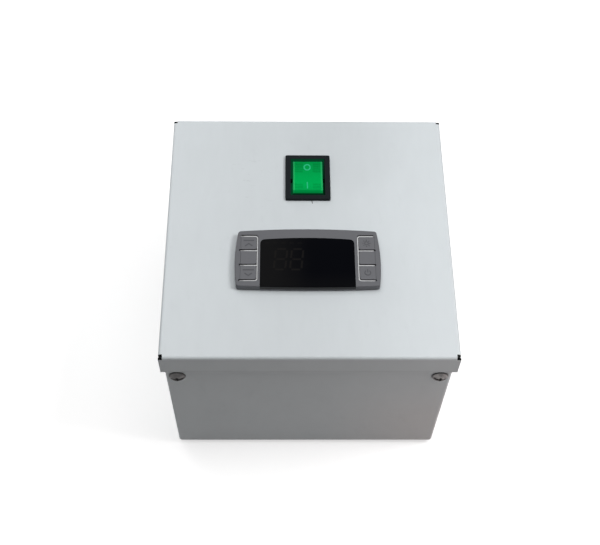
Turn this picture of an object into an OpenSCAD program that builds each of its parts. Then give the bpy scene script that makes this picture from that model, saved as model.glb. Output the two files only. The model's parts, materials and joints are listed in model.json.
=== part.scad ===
// Filament dryer unit: a folded sheet-metal box with a panel controller, a rocker switch,
// and a fan that blows room air over a heater and out of the right side.
// Millimetres. Origin: centre of the footprint, on the resting surface. Front faces -Y.

/* [Box] */
// Width and depth of the lid
lid_w = 150; // [149:0.5:156]
// Height of the sheet-metal box without its feet
box_h = 110; // [109:0.5:125]
// Thickness of the steel sheet
sheet = 1.2; // [1:0.1:1.5]
// How far the lid stands out past the walls of the tray, on each side
lid_overhang = 1.7; // [1.6:0.1:2]
// Height of the lid's flanges
flange_h = 15.4; // [12:0.2:16]
// Outer radius of the bends
bend_r = 1.6; // [1.6:0.1:2]
// Width, depth and height of the relief cut at each corner of the lid
relief = [1.7, 2.2, 2.2];
// Height of the rubber feet
foot_h = 3; // [2:0.5:8]
// Diameter of the rubber feet
foot_d = 12; // [8:1:16]
// Distance of the feet from the box's centre lines
foot_inset = 58; // [50:1:60]

/* [Lid screws] */
// Distance of the lid screws from the box's centre line
lid_screw_x = 67.2; // [66.5:0.1:67.5]
// Distance of the lid screws below the top of the lid
lid_screw_drop = 23; // [21:0.5:24]
// Diameter of the screw heads
head_d = 8.6; // [8:0.1:9]
// Height of the screw heads
head_h = 2.5; // [2:0.1:2.5]

/* [Rocker switch] */
// Distance of the switch behind the box's centre
switch_y = 34.4; // [33:0.1:36]
// Width of the switch's frame
frame_w = 24.4; // [24:0.1:26]
// Depth of the switch's frame
frame_d = 29.6; // [29.6:0.1:32]
// Thickness of the frame above the lid
frame_t = 1.8; // [1.6:0.1:2]
// Width of the opening round the rocker
well_w = 18.6; // [18:0.1:19]
// Depth of the opening round the rocker
well_d = 24.2; // [24:0.1:25]
// Width of the rocker
rocker_w = 16.2; // [15.8:0.1:16.4]
// Length of the rocker
rocker_d = 21; // [20:0.1:21.6]
// Rise of each half of the rocker towards its end, in degrees
rocker_slope = 5.5; // [4:0.5:6]
// Tilt of the rocker to each side of level, in degrees
rocker_tilt = 6; // [4:0.5:6]
// Tilt of the contact levers to each side of level, in degrees
lever_tilt = 4; // [2:0.5:4]

/* [Controller] */
// Centre of the controller, to the right of the box's centre
controller_x = -0.6; // [-1:0.1:1]
// Centre of the controller, behind the box's centre
controller_y = -18.95; // [-20:0.05:-18]
// Width of the bezel across its middle
bezel_w = 75.2; // [74:0.2:76]
// Depth of the bezel across its middle
bezel_d = 35.4; // [35:0.2:36]
// Thickness of the bezel
bezel_t = 3.6; // [3.4:0.1:4]
// Thickness of the gasket under the bezel
gasket_t = 0.6; // [0.4:0.1:0.8]
// Width of the cut-out in the lid
cutout_w = 71; // [71:0.1:72]
// Depth of the cut-out in the lid
cutout_d = 29; // [29:0.1:30]
// Depth of the housing below the lid
housing_depth = 56; // [54:1:58]
// Width of the groove round the keys
groove = 0.7; // [0.6:0.05:0.8]

/* [Fan and heater] */
// Size of the square fan
fan_size = 60; // [60:1:60]
// Depth of the fan
fan_depth = 25; // [25:1:25]
// Distance between the fan's screws
fan_pitch = 50; // [50:1:50]
// Distance of the fan behind the box's centre
fan_y = 36; // [35:0.5:36.5]
// Number of fan blades
blade_count = 7; // [5:1:9]
// Number of fins on each side of a heating bar
fin_count = 24; // [12:1:26]

/* [Mains inlet] */
// Distance of the inlet to the right of the box's centre
inlet_x = -36; // [-38:0.5:-34]
// Height of the inlet's centre above the resting surface
inlet_z = 81; // [80.8:0.1:81.4]
// Width and height of the inlet's flange
inlet_flange = [50, 29];

/* [Hidden] */
$fn = 48;
gap = 0.1;                                   // face to face play between moulded pieces

// The box
half_lid = lid_w / 2;
half_tray = half_lid - lid_overhang;         // outside of the tray's walls
half_in = half_tray - sheet;                 // inside of the tray's walls
lid_top = foot_h + box_h;
lid_under = lid_top - sheet;
floor_z = foot_h + sheet;                    // top of the tray's floor
lid_screw_z = lid_top - lid_screw_drop;
m4_r = 2;                                    // radius of an M4 shank
m4_hole_r = 2.25;
m4_nut_h = 3.2;
m4_flats = 7;
bracket_w = 9;
bracket_t = 1.5;
bracket_foot = 14;
bracket_leg = 30;
clinch_r = 3.4;
clinch_l = 3;

// The rocker switch
switch_body = [21.8, 27.4, 21];              // body below the lid
pivot_z = lid_top - 2.2;                     // height of the rocker's hinge
pivot_r = 1.2;
pin_reach = 0.9;                             // how far the hinge pins stand into the walls
rocker_rise = 3.5;                           // rocker's valley above its hinge
rocker_skirt = 2.2;                          // depth of the rocker's skirt below its hinge
rocker_wall = 1.4;
plunger_r = 1;
plunger_reach = 8.9;                         // tip of the plunger below the rocker's hinge
lever_pivot_z = lid_top - 13;
lever_l = 16;
lever_x = 4.2;                               // distance of each contact lever from the middle
blade = [6.3, 0.8, 9];                       // width, thickness, length of a terminal blade

// The controller
face_z = lid_top + gasket_t + bezel_t;       // face of the bezel and of the keys
bezel_z = lid_top + gasket_t;                // underside of the bezel
bezel_corner = 1.6;
bezel_bow = [1.0, 1.3, 0.7];                 // bow of the sides, of the far edge and of the near edge
bezel_near_taper = 0.6;                      // how much narrower the near corners are
bezel_far_taper = 1.3;                       // how much narrower the far corners are
near_y = controller_y - bezel_d / 2;
key_y = [-6.2, -14.7, -23.6, -32.8];         // far edge of each key, and the near edge of the last
key_left_x = [-35.3, -27.0];                 // outer and inner end of a left key
key_right_x = [34.3, 25.9];                  // outer and inner end of a right key
key_t = 2.6;
rib_w = 0.36;                                // width of the membrane's rib in each groove
rib_drop = 0.5;                              // top of the rib below the face
membrane_t = 1.2;
skirt_w = 50;
window_x = [-25.2, 23.7];
window_far = -6.9;
window_bow = 0.9;
window_corner = 2.5;
lens_t = 1.4;
lens_lip = 0.9;                              // bare edge below the lens on the near wall
housing_wall = 1.5;
housing_w = cutout_w - 0.6;
housing_d = cutout_d - 0.4;
housing_y = -18.9;
housing_bottom = lid_top - housing_depth;
board_t = 1.6;
display_board_z = lid_top - 7.4;
power_board_z = housing_bottom + 7;

// Fan, heater and duct
fan_x = -half_in;                            // face of the fan against the left wall
fan_end = fan_x + fan_depth;
fan_z = floor_z + fan_size / 2;
fan_bore_r = 28.5;
fan_tube_r = 29.8;
fan_flange_t = 3.5;
hub_r = 15;
hub_t = 2.5;
holder_r = 5.2;
bearing_r = 4;
bearing_l = 4;
shaft_r = 1.5;
running_play = 0.05;
cup_r = 13.5;
cup_wall = 1;
blade_r = 27.6;
blade_t = 1.6;
blade_chord = 17;
blade_pitch_deg = 42;
duct_t = 1;
duct_in = [fan_y - fan_size / 2 - 0.2, fan_y + fan_size / 2 + 0.2]; // inside of the duct's sides
duct_top = floor_z + fan_size + 0.2;         // inside of the duct's top
duct_start = -60;
heater_x = [-12, 6];
heater_bar_z = [16, 31, 46];
heater_bar_h = 5;
fin_t = 0.4;
cutout_disc = [20, 36];                      // place of the thermostat on the duct
probe_at = [48, 36];
probe_r = 2.5;

// Mains inlet
inlet_face = half_tray + 2.5;                // face of the inlet's flange
inlet_body = [28, 27.2, 25];                 // width, depth behind the wall's outside, height
socket_size = [24.2, 16, 15.8];              // width, depth, height of the socket
socket_z = inlet_z + 4.2;
drawer_size = [20, 5.4];
drawer_z = inlet_z - 8.6;
drawer_play = 0.15;
drawer_back = inlet_face - 25;
fuse_r = 2.4;
m3_r = 1.5;

// Helpers
module block(lo, hi) { translate(lo) cube(hi - lo); }
module rod_x(r, x0, x1, y, z) { translate([x0, y, z]) rotate([0, 90, 0]) cylinder(r = r, h = x1 - x0); }
module rod_y(r, y0, y1, x, z) { translate([x, y0, z]) rotate([-90, 0, 0]) cylinder(r = r, h = y1 - y0); }
module rod_z(r, z0, z1, x, y) { translate([x, y, z0]) cylinder(r = r, h = z1 - z0); }
module hex(flats, h) { cylinder(d = flats / cos(30), h = h, $fn = 6); }

// A flat shape with round corners, centred
module round_rect(w, d, r) {
    square([w - 2 * r, d], center = true);
    square([w, d - 2 * r], center = true);
    for (x = [-1, 1], y = [-1, 1])
        translate([x * (w / 2 - r), y * (d / 2 - r)]) circle(r = r);
}

// A pan-head screw with a slot and a cross, its seat at z = 0 and its shank going down
module pan_screw(shank_r, length, d = head_d, h = head_h) {
    cap_r = (d * d / 4 + h * h) / (2 * h) + 0.4;
    difference() {
        union() {
            intersection() {
                cylinder(d = d, h = h);
                translate([0, 0, h - cap_r]) sphere(r = cap_r);
            }
            translate([0, 0, -length]) cylinder(r = shank_r, h = length + 0.2);
        }
        translate([-d, -0.5, h - 1.1]) cube([2 * d, 1, 2]);
        translate([-0.45, -d / 4, h - 1.5]) cube([0.9, d / 2, 2]);
    }
}

// Turns a screw that points down into one that goes through a wall: its head stands on the outside
module on_front(x, z, y = -half_tray) { translate([x, y, z]) rotate([90, 0, 0]) children(); }
module on_back(x, z, y = half_tray) { translate([x, y, z]) rotate([-90, 0, 0]) children(); }
module on_left(y, z, x = -half_tray) { translate([x, y, z]) rotate([0, -90, 0]) children(); }
module on_right(y, z, x = half_tray) { translate([x, y, z]) rotate([0, 90, 0]) children(); }

// Places that more than one piece shares
module at_lid_screws() {
    for (x = [-lid_screw_x, lid_screw_x]) {
        on_front(x, lid_screw_z) children();
        on_back(x, lid_screw_z) children();
    }
}
module at_fan_screws(x) {
    for (y = [-fan_pitch / 2, fan_pitch / 2], z = [-fan_pitch / 2, fan_pitch / 2])
        on_left(fan_y + y, fan_z + z, x) children();
}
duct_screw_at = [[24, duct_top + 8], [48, duct_top + 8], [duct_in[0] - 7, 18], [duct_in[0] - 7, 50]];
module at_duct_screws(x) {
    for (p = duct_screw_at) on_right(p[0], p[1], x) children();
}
inlet_screw_x = [inlet_x - 20, inlet_x + 20];

// ---- Box ----

// The tray filled in: bends at the upright corners and along the floor
module tray_form() {
    side = 2 * half_tray;
    intersection() {
        translate([0, 0, foot_h]) linear_extrude(lid_under - foot_h) round_rect(side, side, bend_r);
        rotate([90, 0, 0]) translate([0, 0, -half_tray]) linear_extrude(side) tray_outline();
        rotate([90, 0, 90]) translate([0, 0, -half_tray]) linear_extrude(side) tray_outline();
    }
}
module tray_outline() {
    across = half_tray - bend_r;
    translate([-half_tray, foot_h + bend_r]) square([2 * half_tray, lid_under - foot_h - bend_r]);
    translate([-across, foot_h]) square([2 * across, bend_r]);
    for (x = [-across, across]) translate([x, foot_h + bend_r]) circle(r = bend_r);
}

// Ring slots of the air intake, with four spokes left standing
intake_rings = [6, 12, 18, 24];
intake_slot = 3.2;
module intake_slots() {
    difference() {
        for (r = intake_rings) rotate([0, 90, 0]) difference() {
            cylinder(r = r + intake_slot / 2, h = 3 * sheet, center = true);
            cylinder(r = r - intake_slot / 2, h = 4 * sheet, center = true);
        }
        for (a = [45, 135]) rotate([a, 0, 0]) cube([5 * sheet, 3.5, 70], center = true);
    }
}

// Round-ended slots of the warm-air outlet
outlet_slot = [48, 3.4];
outlet_pitch = 6.2;
outlet_rows = 8;
module outlet_slots() {
    half = (outlet_slot[0] - outlet_slot[1]) / 2;
    for (i = [0 : outlet_rows - 1])
        translate([0, 0, (i - (outlet_rows - 1) / 2) * outlet_pitch]) {
            cube([4 * sheet, 2 * half, outlet_slot[1]], center = true);
            for (y = [-half, half]) translate([0, y, 0]) rotate([0, 90, 0])
                cylinder(d = outlet_slot[1], h = 4 * sheet, center = true);
        }
}

module base_tray() {
    wall_mid = half_tray - sheet / 2;
    color("white") difference() {
        tray_form();
        block([-half_in, -half_in, floor_z], [half_in, half_in, lid_top]);
        at_lid_screws() cylinder(r = m4_hole_r, h = 4 * sheet, center = true);
        translate([-wall_mid, fan_y, fan_z]) intake_slots();
        at_fan_screws(-wall_mid) cylinder(r = m4_hole_r, h = 2 * sheet, center = true);
        translate([wall_mid, fan_y, fan_z]) outlet_slots();
        at_duct_screws(wall_mid) cylinder(r = m4_hole_r, h = 2 * sheet, center = true);
        translate([inlet_x, wall_mid, inlet_z])
            cube([inlet_body[0] + 0.4, 3 * sheet, inlet_body[2] + 0.4], center = true);
        for (x = inlet_screw_x)
            on_back(x, inlet_z, wall_mid) cylinder(r = m3_r + 0.2, h = 3 * sheet, center = true);
    }
}

// Outline of the lid seen from an edge: its top corners are bends
module lid_outline() {
    low = lid_top - flange_h;
    translate([-half_lid, low]) square([lid_w, flange_h - bend_r]);
    translate([-half_lid + bend_r, low]) square([lid_w - 2 * bend_r, flange_h]);
    for (x = [-1, 1]) translate([x * (half_lid - bend_r), lid_top - bend_r]) circle(r = bend_r);
}

module lid() {
    inside = half_lid - sheet;
    slit = half_lid - relief[1];
    low = lid_top - flange_h - 1;
    color("whitesmoke") difference() {
        intersection() {
            rotate([90, 0, 0]) translate([0, 0, -half_lid]) linear_extrude(lid_w) lid_outline();
            rotate([90, 0, 90]) translate([0, 0, -half_lid]) linear_extrude(lid_w) lid_outline();
        }
        block([-inside, -inside, low], [inside, inside, lid_under]);
        // the side flanges stop short of the front and back ones
        for (x = [0, 1], y = [0, 1]) mirror([x, 0, 0]) mirror([0, y, 0]) {
            block([inside - 1, slit, low], [half_lid + 1, inside, lid_top - relief[2]]);
            block([half_lid - relief[0], slit, lid_top - relief[2]],
                [half_lid + 1, half_lid + 1, lid_top + 1]);
        }
        translate([controller_x, housing_y, lid_top]) cube([cutout_w, cutout_d, 4 * sheet], center = true);
        translate([0, switch_y, lid_top])
            cube([switch_body[0] + 0.2, switch_body[1] + 0.2, 4 * sheet], center = true);
    }
}

// Angle under a corner of the lid; sx and sy say which corner
module lid_bracket(sx, sy) {
    inner = half_in - 0.5;
    color("silver") mirror([sx > 0 ? 0 : 1, 0, 0]) mirror([0, sy > 0 ? 0 : 1, 0]) difference() {
        union() {
            block([inner - bracket_w, half_in - bracket_t, lid_under - bracket_leg],
                [inner, half_in, lid_under]);
            block([inner - bracket_w, half_in - bracket_foot, lid_under - bracket_t],
                [inner, half_in, lid_under]);
        }
        rod_y(m4_hole_r, half_in - 4, half_in + 1, lid_screw_x, lid_screw_z);
    }
}

module lid_screws() {
    color("gainsboro") at_lid_screws() pan_screw(m4_r, 9);
}

module lid_clinch_nuts() {
    seat = half_in - bracket_t;
    color("silver") for (x = [-lid_screw_x, lid_screw_x]) {
        on_front(x, lid_screw_z, -seat) clinch_nut();
        on_back(x, lid_screw_z, seat) clinch_nut();
    }
}
module clinch_nut() {
    translate([0, 0, -clinch_l]) difference() {
        cylinder(r = clinch_r, h = clinch_l);
        translate([0, 0, -1]) cylinder(r = m4_r + 0.02, h = clinch_l + 2);
    }
}

module rubber_feet() {
    color("dimgray") for (x = [-foot_inset, foot_inset], y = [-foot_inset, foot_inset])
        translate([x, y, 0]) difference() {
            union() {
                translate([0, 0, 1]) cylinder(d = foot_d, h = foot_h - 1);
                cylinder(d = foot_d - 2, h = foot_h);
                translate([0, 0, 1]) rotate_extrude() translate([foot_d / 2 - 1, 0]) circle(r = 1);
            }
        }
}

// ---- Rocker switch ----

module switch_housing() {
    body_z = lid_top - switch_body[2];
    floor_t = 2;
    color([0.12, 0.13, 0.15]) translate([0, switch_y, 0]) difference() {
        union() {
            translate([0, 0, lid_top]) linear_extrude(frame_t - 0.6) round_rect(frame_w, frame_d, 0.8);
            translate([0, 0, lid_top]) linear_extrude(frame_t) round_rect(frame_w - 0.8, frame_d - 0.8, 0.8);
            translate([-switch_body[0] / 2, -switch_body[1] / 2, body_z]) cube(switch_body);
            // snap ears that grip the lid from below
            for (y = [-1, 1])
                translate([0, y * (switch_body[1] / 2 + 0.1), lid_under - 2.15]) cube([8, 1.2, 3.7], center = true);
        }
        translate([-well_w / 2, -well_d / 2, body_z + floor_t])
            cube([well_w, well_d, switch_body[2] + frame_t]);
        // slots for the four terminal blades
        for (x = [-lever_x, lever_x], y = [0, 7])
            translate([x, y, body_z + floor_t / 2])
                cube([blade[0] + 0.1, blade[1] + 0.1, floor_t + 2], center = true);
        // bores for the rocker's pivot pins
        translate([-switch_body[0] / 2 - 1, 0, pivot_z]) rotate([0, 90, 0])
            cylinder(r = pivot_r + running_play, h = switch_body[0] + 2);
    }
}

// Outline of the rocker in its own level position, hinge at the origin
module rocker_outline() {
    half = rocker_d / 2;
    rise = half * tan(rocker_slope);
    polygon([[-half, rocker_rise + rise], [-half, 0], [-half / 2, -rocker_skirt], [half / 2, -rocker_skirt],
        [half, 0], [half, rocker_rise + rise], [0, rocker_rise]]);
}

// Puts a piece of the rocker, drawn level, at its rest tilt: the far end is pressed
module at_rocker() { translate([0, switch_y, pivot_z]) rotate([-rocker_tilt, 0, 0]) children(); }

module switch_rocker() {
    color([0.02, 0.6, 0.3]) at_rocker() {
        difference() {
            rotate([90, 0, 90]) translate([0, 0, -rocker_w / 2]) linear_extrude(rocker_w) rocker_outline();
            translate([-rocker_w / 2 + rocker_wall, -rocker_d / 2 + rocker_wall, -rocker_skirt - 1])
                cube([rocker_w - 2 * rocker_wall, rocker_d - 2 * rocker_wall,
                    rocker_skirt + 1 + rocker_rise - rocker_wall]);
        }
        for (side = [0, 1]) mirror([side, 0, 0])
            rod_x(pivot_r, rocker_w / 2 - 1, well_w / 2 + pin_reach, 0, 0);
        difference() {
            rod_z(2.2, -4, rocker_rise - rocker_wall + 0.2, 0, 0);
            rod_z(plunger_r + running_play, -5, 0.5, 0, 0);
        }
    }
}

module rocker_plunger() {
    color("gold") at_rocker() {
        rod_z(plunger_r, -plunger_reach + plunger_r, 0.4, 0, 0);
        translate([0, 0, -plunger_reach + plunger_r]) sphere(r = plunger_r);
    }
}

contact_at = 6.4;                            // distance of the contacts from the levers' pivot
module switch_levers() {
    color("peru") translate([0, switch_y, lever_pivot_z]) rotate([lever_tilt, 0, 0]) {
        for (x = [-lever_x, lever_x]) {
            translate([x - 2, -lever_l / 2, -0.4]) cube([4, lever_l, 0.8]);
            translate([x, contact_at, -1]) cylinder(r = 1.2, h = 0.8);
        }
        translate([-lever_x, -1.5, -0.4]) cube([2 * lever_x, 3, 1.5]);
    }
}

module switch_terminals() {
    low = lid_top - switch_body[2] - blade[2];
    top = [lever_pivot_z - 0.7, lever_pivot_z - 1.9];
    at_y = [0, 7];
    color("silver") for (x = [-lever_x, lever_x], i = [0, 1])
        block([x - blade[0] / 2, switch_y + at_y[i] - blade[1] / 2, low],
            [x + blade[0] / 2, switch_y + at_y[i] + blade[1] / 2, top[i]]);
}

module switch_lamp() {
    body_z = lid_top - switch_body[2] + 2;
    color("orange") translate([0, switch_y - 9.5, body_z]) {
        cylinder(d = 4, h = 6);
        translate([0, 0, 6]) sphere(d = 4);
    }
}

// ---- Controller ----

// Points from p to q bowed outwards to the right of the way by b
function bowed(p, q, b, n = 6) = [for (i = [0 : n]) let (t = i / n, d = q - p)
    p + d * t + [d[1], -d[0]] / norm(d) * 4 * b * t * (1 - t)];
// Points on a quarter turn of radius r round c, from angle a
function corner(c, r, a, n = 4) = [for (i = [0 : n]) c + r * [cos(a + 90 * i / n), sin(a + 90 * i / n)]];

// The bezel's bowed outline, pulled in by the given amount
function bezel_points(pull = 0) =
    let (r = bezel_corner, x_far = bezel_w / 2 - bezel_bow[0] - bezel_far_taper + 1 - pull,
        x_near = bezel_w / 2 - bezel_bow[0] - bezel_near_taper + 1 - pull,
        y_far = bezel_d / 2 - bezel_bow[1] - pull, y_near = -bezel_d / 2 + bezel_bow[2] + pull)
    concat(
        bowed([x_near, y_near + r], [x_far, y_far - r], bezel_bow[0]),
        corner([x_far - r, y_far - r], r, 0),
        bowed([x_far - r, y_far], [-x_far + r, y_far], bezel_bow[1], 12),
        corner([-x_far + r, y_far - r], r, 90),
        bowed([-x_far, y_far - r], [-x_near, y_near + r], bezel_bow[0]),
        corner([-x_near + r, y_near + r], r, 180),
        bowed([-x_near + r, y_near], [x_near - r, y_near], bezel_bow[2], 12),
        corner([x_near - r, y_near + r], r, 270));

module bezel_shape(pull = 0) { translate([controller_x, controller_y]) polygon(bezel_points(pull)); }

// The window's outline; it runs off the near edge
function window_points(grow = 0) =
    let (r = window_corner, x0 = window_x[0] - grow, x1 = window_x[1] + grow,
        y1 = window_far - window_bow + grow)
    concat([[x0, near_y - 2], [x1, near_y - 2]],
        corner([x1 - r, y1 - r], r, 0),
        bowed([x1 - r, y1], [x0 + r, y1], window_bow, 10),
        corner([x0 + r, y1 - r], r, 90));

// Opening for a column of keys, from its outer end to the inner groove
module key_opening(ends) {
    out = ends[0];
    inn = ends[1] + sign(ends[1] - ends[0]) * groove;
    translate([(out + inn) / 2, (key_y[0] + groove + key_y[3] - groove) / 2])
        round_rect(abs(inn - out) + 2 * gap, key_y[0] - key_y[3] + 2 * groove, 1.6);
}

module controller_bezel() {
    edge = 0.5;
    color([0.42, 0.42, 0.45]) difference() {
        union() {
            translate([0, 0, bezel_z]) linear_extrude(bezel_t - edge) bezel_shape();
            translate([0, 0, bezel_z]) linear_extrude(bezel_t) bezel_shape(edge);
            // skirt between the key mats, down to the housing's rim
            translate([controller_x, housing_y, bezel_z - membrane_t])
                translate([-skirt_w / 2, -housing_d / 2, 0]) cube([skirt_w, housing_d, membrane_t]);
        }
        translate([controller_x, housing_y, bezel_z - membrane_t - 1])
            translate([-skirt_w, -housing_d / 2 + housing_wall, 0])
                cube([2 * skirt_w, housing_d - 2 * housing_wall, membrane_t + 1]);
        for (ends = [key_left_x, key_right_x])
            translate([0, 0, bezel_z - 1]) linear_extrude(bezel_t + 2) key_opening(ends);
        // seat of the lens on the face and down the near wall
        translate([0, 0, face_z - lens_t]) linear_extrude(lens_t + 1) polygon(window_points(gap / 2));
        difference() {
            block([window_x[0] - gap / 2, near_y - 3, bezel_z + lens_lip],
                [window_x[1] + gap / 2, near_y + 1.2, face_z]);
            translate([0, 0, bezel_z]) linear_extrude(bezel_t) bezel_shape(lens_t);
        }
        // light well of the digits
        block([window_x[0] + 3, near_y + 6, bezel_z - 1], [window_x[1] - 3, window_far - 3, face_z]);
    }
}

module display_lens() {
    color([0.06, 0.06, 0.08]) intersection() {
        union() {
            translate([0, 0, face_z - lens_t]) linear_extrude(lens_t) polygon(window_points());
            difference() {
                block([window_x[0], near_y - 3, bezel_z + lens_lip + gap / 2],
                    [window_x[1], near_y + 1.2, face_z]);
                translate([0, 0, bezel_z]) linear_extrude(bezel_t) bezel_shape(lens_t);
            }
        }
        union() {
            translate([0, 0, bezel_z]) linear_extrude(bezel_t - 0.5) bezel_shape();
            translate([0, 0, bezel_z]) linear_extrude(bezel_t) bezel_shape(0.5);
        }
    }
}

// One tongue key: ends are its outer and inner end, row 0 is the far one
module tongue_key(ends, row) {
    far = key_y[row] - (row > 0 ? groove / 2 : 0);
    near = key_y[row + 1] + (row < 2 ? groove / 2 : 0);
    color([0.42, 0.43, 0.45]) translate([0, 0, face_z - key_t]) linear_extrude(key_t)
        translate([(ends[0] + ends[1]) / 2, (far + near) / 2])
            round_rect(abs(ends[0] - ends[1]) - 2 * gap, far - near, 1.1);
}

// Rubber mats under the keys, with a rib that stands in each groove
module key_membranes() {
    for (ends = [key_left_x, key_right_x]) {
        inner = sign(ends[1] - ends[0]);
        rib_x = ends[1] + inner * groove / 2;
        rib_y = concat([key_y[0] + groove / 2], [key_y[1], key_y[2]], [key_y[3] - groove / 2]);
        outer_x = ends[0] + inner * 1.2;
        color("lightgray") {
            block([min(ends[0], rib_x) - 0.3, key_y[3] - 0.45, bezel_z - membrane_t],
                [max(ends[0], rib_x) + 0.3, key_y[0] + 0.45, bezel_z]);
            translate([0, 0, bezel_z - 0.1]) linear_extrude(face_z - rib_drop - bezel_z + 0.1) intersection() {
                key_opening(ends);
                union() {
                    translate([rib_x - rib_w / 2, rib_y[3]]) square([rib_w, rib_y[0] - rib_y[3]]);
                    for (y = rib_y) translate([min(outer_x, rib_x), y - rib_w / 2])
                        square([abs(rib_x - outer_x), rib_w]);
                }
            }
        }
    }
}

module controller_gasket() {
    color("black") translate([0, 0, lid_top]) linear_extrude(gasket_t) difference() {
        bezel_shape(0.5);
        translate([controller_x, housing_y]) square([housing_w + 0.3, housing_d + 0.3], center = true);
    }
}

module controller_housing() {
    color([0.1, 0.1, 0.1]) translate([controller_x, housing_y, 0]) difference() {
        translate([-housing_w / 2, -housing_d / 2, housing_bottom])
            cube([housing_w, housing_d, bezel_z - membrane_t - housing_bottom]);
        translate([-housing_w / 2 + housing_wall, -housing_d / 2 + housing_wall, housing_bottom + housing_wall])
            cube([housing_w - 2 * housing_wall, housing_d - 2 * housing_wall, housing_depth + 10]);
        // slot through which the rear terminals stand out
        translate([-28, -9, housing_bottom - 1]) cube([56, 18, housing_wall + 2]);
    }
}

board = [housing_w - 2 * housing_wall - 1, housing_d - 2 * housing_wall - 1];

module display_board() {
    color("darkgreen") translate([controller_x - board[0] / 2, housing_y - board[1] / 2, display_board_z])
        cube([board[0], board[1], board_t]);
}

module display_digits() {
    color([0.2, 0.2, 0.22])
        block([window_x[0] + 4, near_y + 9, display_board_z + board_t],
            [window_x[1] - 4, window_far - 4, face_z - lens_t - 0.2]);
}

module tact_switches() {
    z = display_board_z + board_t;
    for (ends = [key_left_x, key_right_x], i = [0 : 2]) {
        x = ends[1] * 0.7 + ends[0] * 0.3;
        y = (key_y[i] + key_y[i + 1]) / 2;
        color("dimgray") translate([x - 3, y - 3, z]) cube([6, 6, 3.4]);
        color("black") rod_z(1.6, z + 3.4, bezel_z - membrane_t - 0.1, x, y);
    }
}

module power_board() {
    color("darkgreen") translate([controller_x - board[0] / 2, housing_y - board[1] / 2, power_board_z])
        cube([board[0], board[1], board_t]);
}

module relay() {
    z = power_board_z + board_t;
    color("royalblue") block([-30, housing_y - 8, z], [-11, housing_y + 8, z + 15]);
}

module transformer() {
    z = power_board_z + board_t;
    color("goldenrod") block([4, housing_y - 9, z + 1], [26, housing_y + 9, z + 18]);
    color("darkslategray") for (y = [-10.5, 9]) block([2, housing_y + y, z], [28, housing_y + y + 1.5, z + 19]);
}

module board_ribbon() {
    color("gainsboro")
        block([-8, housing_y + 6, power_board_z + board_t], [1, housing_y + 6.8, display_board_z]);
}

module controller_terminals() {
    top = power_board_z;
    low = housing_bottom - 9;
    count = 11;
    pitch = 5;
    color("seagreen") translate([controller_x - count * pitch / 2, housing_y - 8, 0]) difference() {
        block([0, 0, low], [count * pitch, 16, top]);
        for (i = [0 : count - 1]) {
            block([i * pitch + 1, -1, low + 1.5], [i * pitch + pitch - 1, 4, low + 6]);
            rod_z(1.6, low - 1, low + 1, (i + 0.5) * pitch, 9);
        }
    }
}

// Clip that slides up the housing's side and pulls the controller down on the lid
module panel_clip(side) {
    wall = controller_x + side * housing_w / 2;
    color([0.15, 0.15, 0.16]) {
        translate([wall + side * 0.8, housing_y, lid_under - 8]) cube([1.6, 12, 16], center = true);
        translate([wall + side * 3.3, housing_y, lid_under - 1.5]) cube([3.4, 12, 3], center = true);
    }
}

// ---- Fan, heater and duct ----

module air_duct() {
    out = [duct_in[0] - duct_t, duct_in[1] + duct_t];
    top = duct_top + duct_t;
    tab = 14;
    color("lightsteelblue") difference() {
        union() {
            block([duct_start, out[0], floor_z], [half_in, duct_in[0], top]);
            block([duct_start, duct_in[1], floor_z], [half_in, out[1], top]);
            block([duct_start, out[0], duct_top], [half_in, out[1], top]);
            // tabs that the screws in the right wall hold
            block([half_in - duct_t, duct_in[0] - tab, 10], [half_in, duct_in[0], 58]);
            block([half_in - duct_t, 16, duct_top], [half_in, 56, duct_top + tab]);
            // foot along the front
            block([duct_start + 20, duct_in[0] - 9, floor_z], [half_in - 20, duct_in[0], floor_z + duct_t]);
        }
        at_duct_screws(half_in - duct_t / 2) cylinder(r = m4_hole_r, h = 3 * duct_t, center = true);
        rod_z(probe_r + 1.6, duct_top - 1, top + 1, probe_at[0], probe_at[1]);
        // notches for the heater's leads and the fan's leads
        block([heater_x[0] + 6, out[0] - 1, 49], [heater_x[1] - 4, duct_in[0] + 1, 57]);
        block([fan_end + 3, out[0] - 1, floor_z + 1.5], [fan_end + 10, duct_in[0] + 1, floor_z + 7]);
    }
}

module duct_screws() {
    color("gainsboro") at_duct_screws(half_tray) pan_screw(m4_r, 7);
}

module hex_nut() {
    difference() {
        hex(m4_flats, m4_nut_h);
        translate([0, 0, -1]) cylinder(r = m4_r + 0.02, h = m4_nut_h + 2);
    }
}

module duct_nuts() {
    color("silver") at_duct_screws(half_in - duct_t - m4_nut_h) hex_nut();
}

module fan_frame() {
    strut_w = 3.2;
    color([0.13, 0.13, 0.14]) difference() {
        union() {
            difference() {
                union() {
                    rod_x(fan_tube_r, fan_x, fan_end, fan_y, fan_z);
                    for (x = [fan_x, fan_end - fan_flange_t])
                        translate([x, fan_y, fan_z]) rotate([90, 0, 90])
                            linear_extrude(fan_flange_t) round_rect(fan_size, fan_size, 4);
                }
                rod_x(fan_bore_r, fan_x - 1, fan_end + 1, fan_y, fan_z);
            }
            for (a = [45, 135]) translate([fan_end - hub_t, fan_y, fan_z]) rotate([a, 0, 0])
                block([0, -strut_w / 2, -fan_bore_r - 0.8], [hub_t - 0.1, strut_w / 2, fan_bore_r + 0.8]);
            rod_x(hub_r, fan_end - hub_t, fan_end, fan_y, fan_z);
            rod_x(holder_r, fan_x + 6, fan_end - hub_t + 0.5, fan_y, fan_z);
        }
        rod_x(bearing_r, fan_x + 5, fan_end - hub_t, fan_y, fan_z);
        at_fan_screws(fan_end) translate([0, 0, -1]) cylinder(r = m4_hole_r, h = fan_depth + 2);
    }
}

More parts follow.
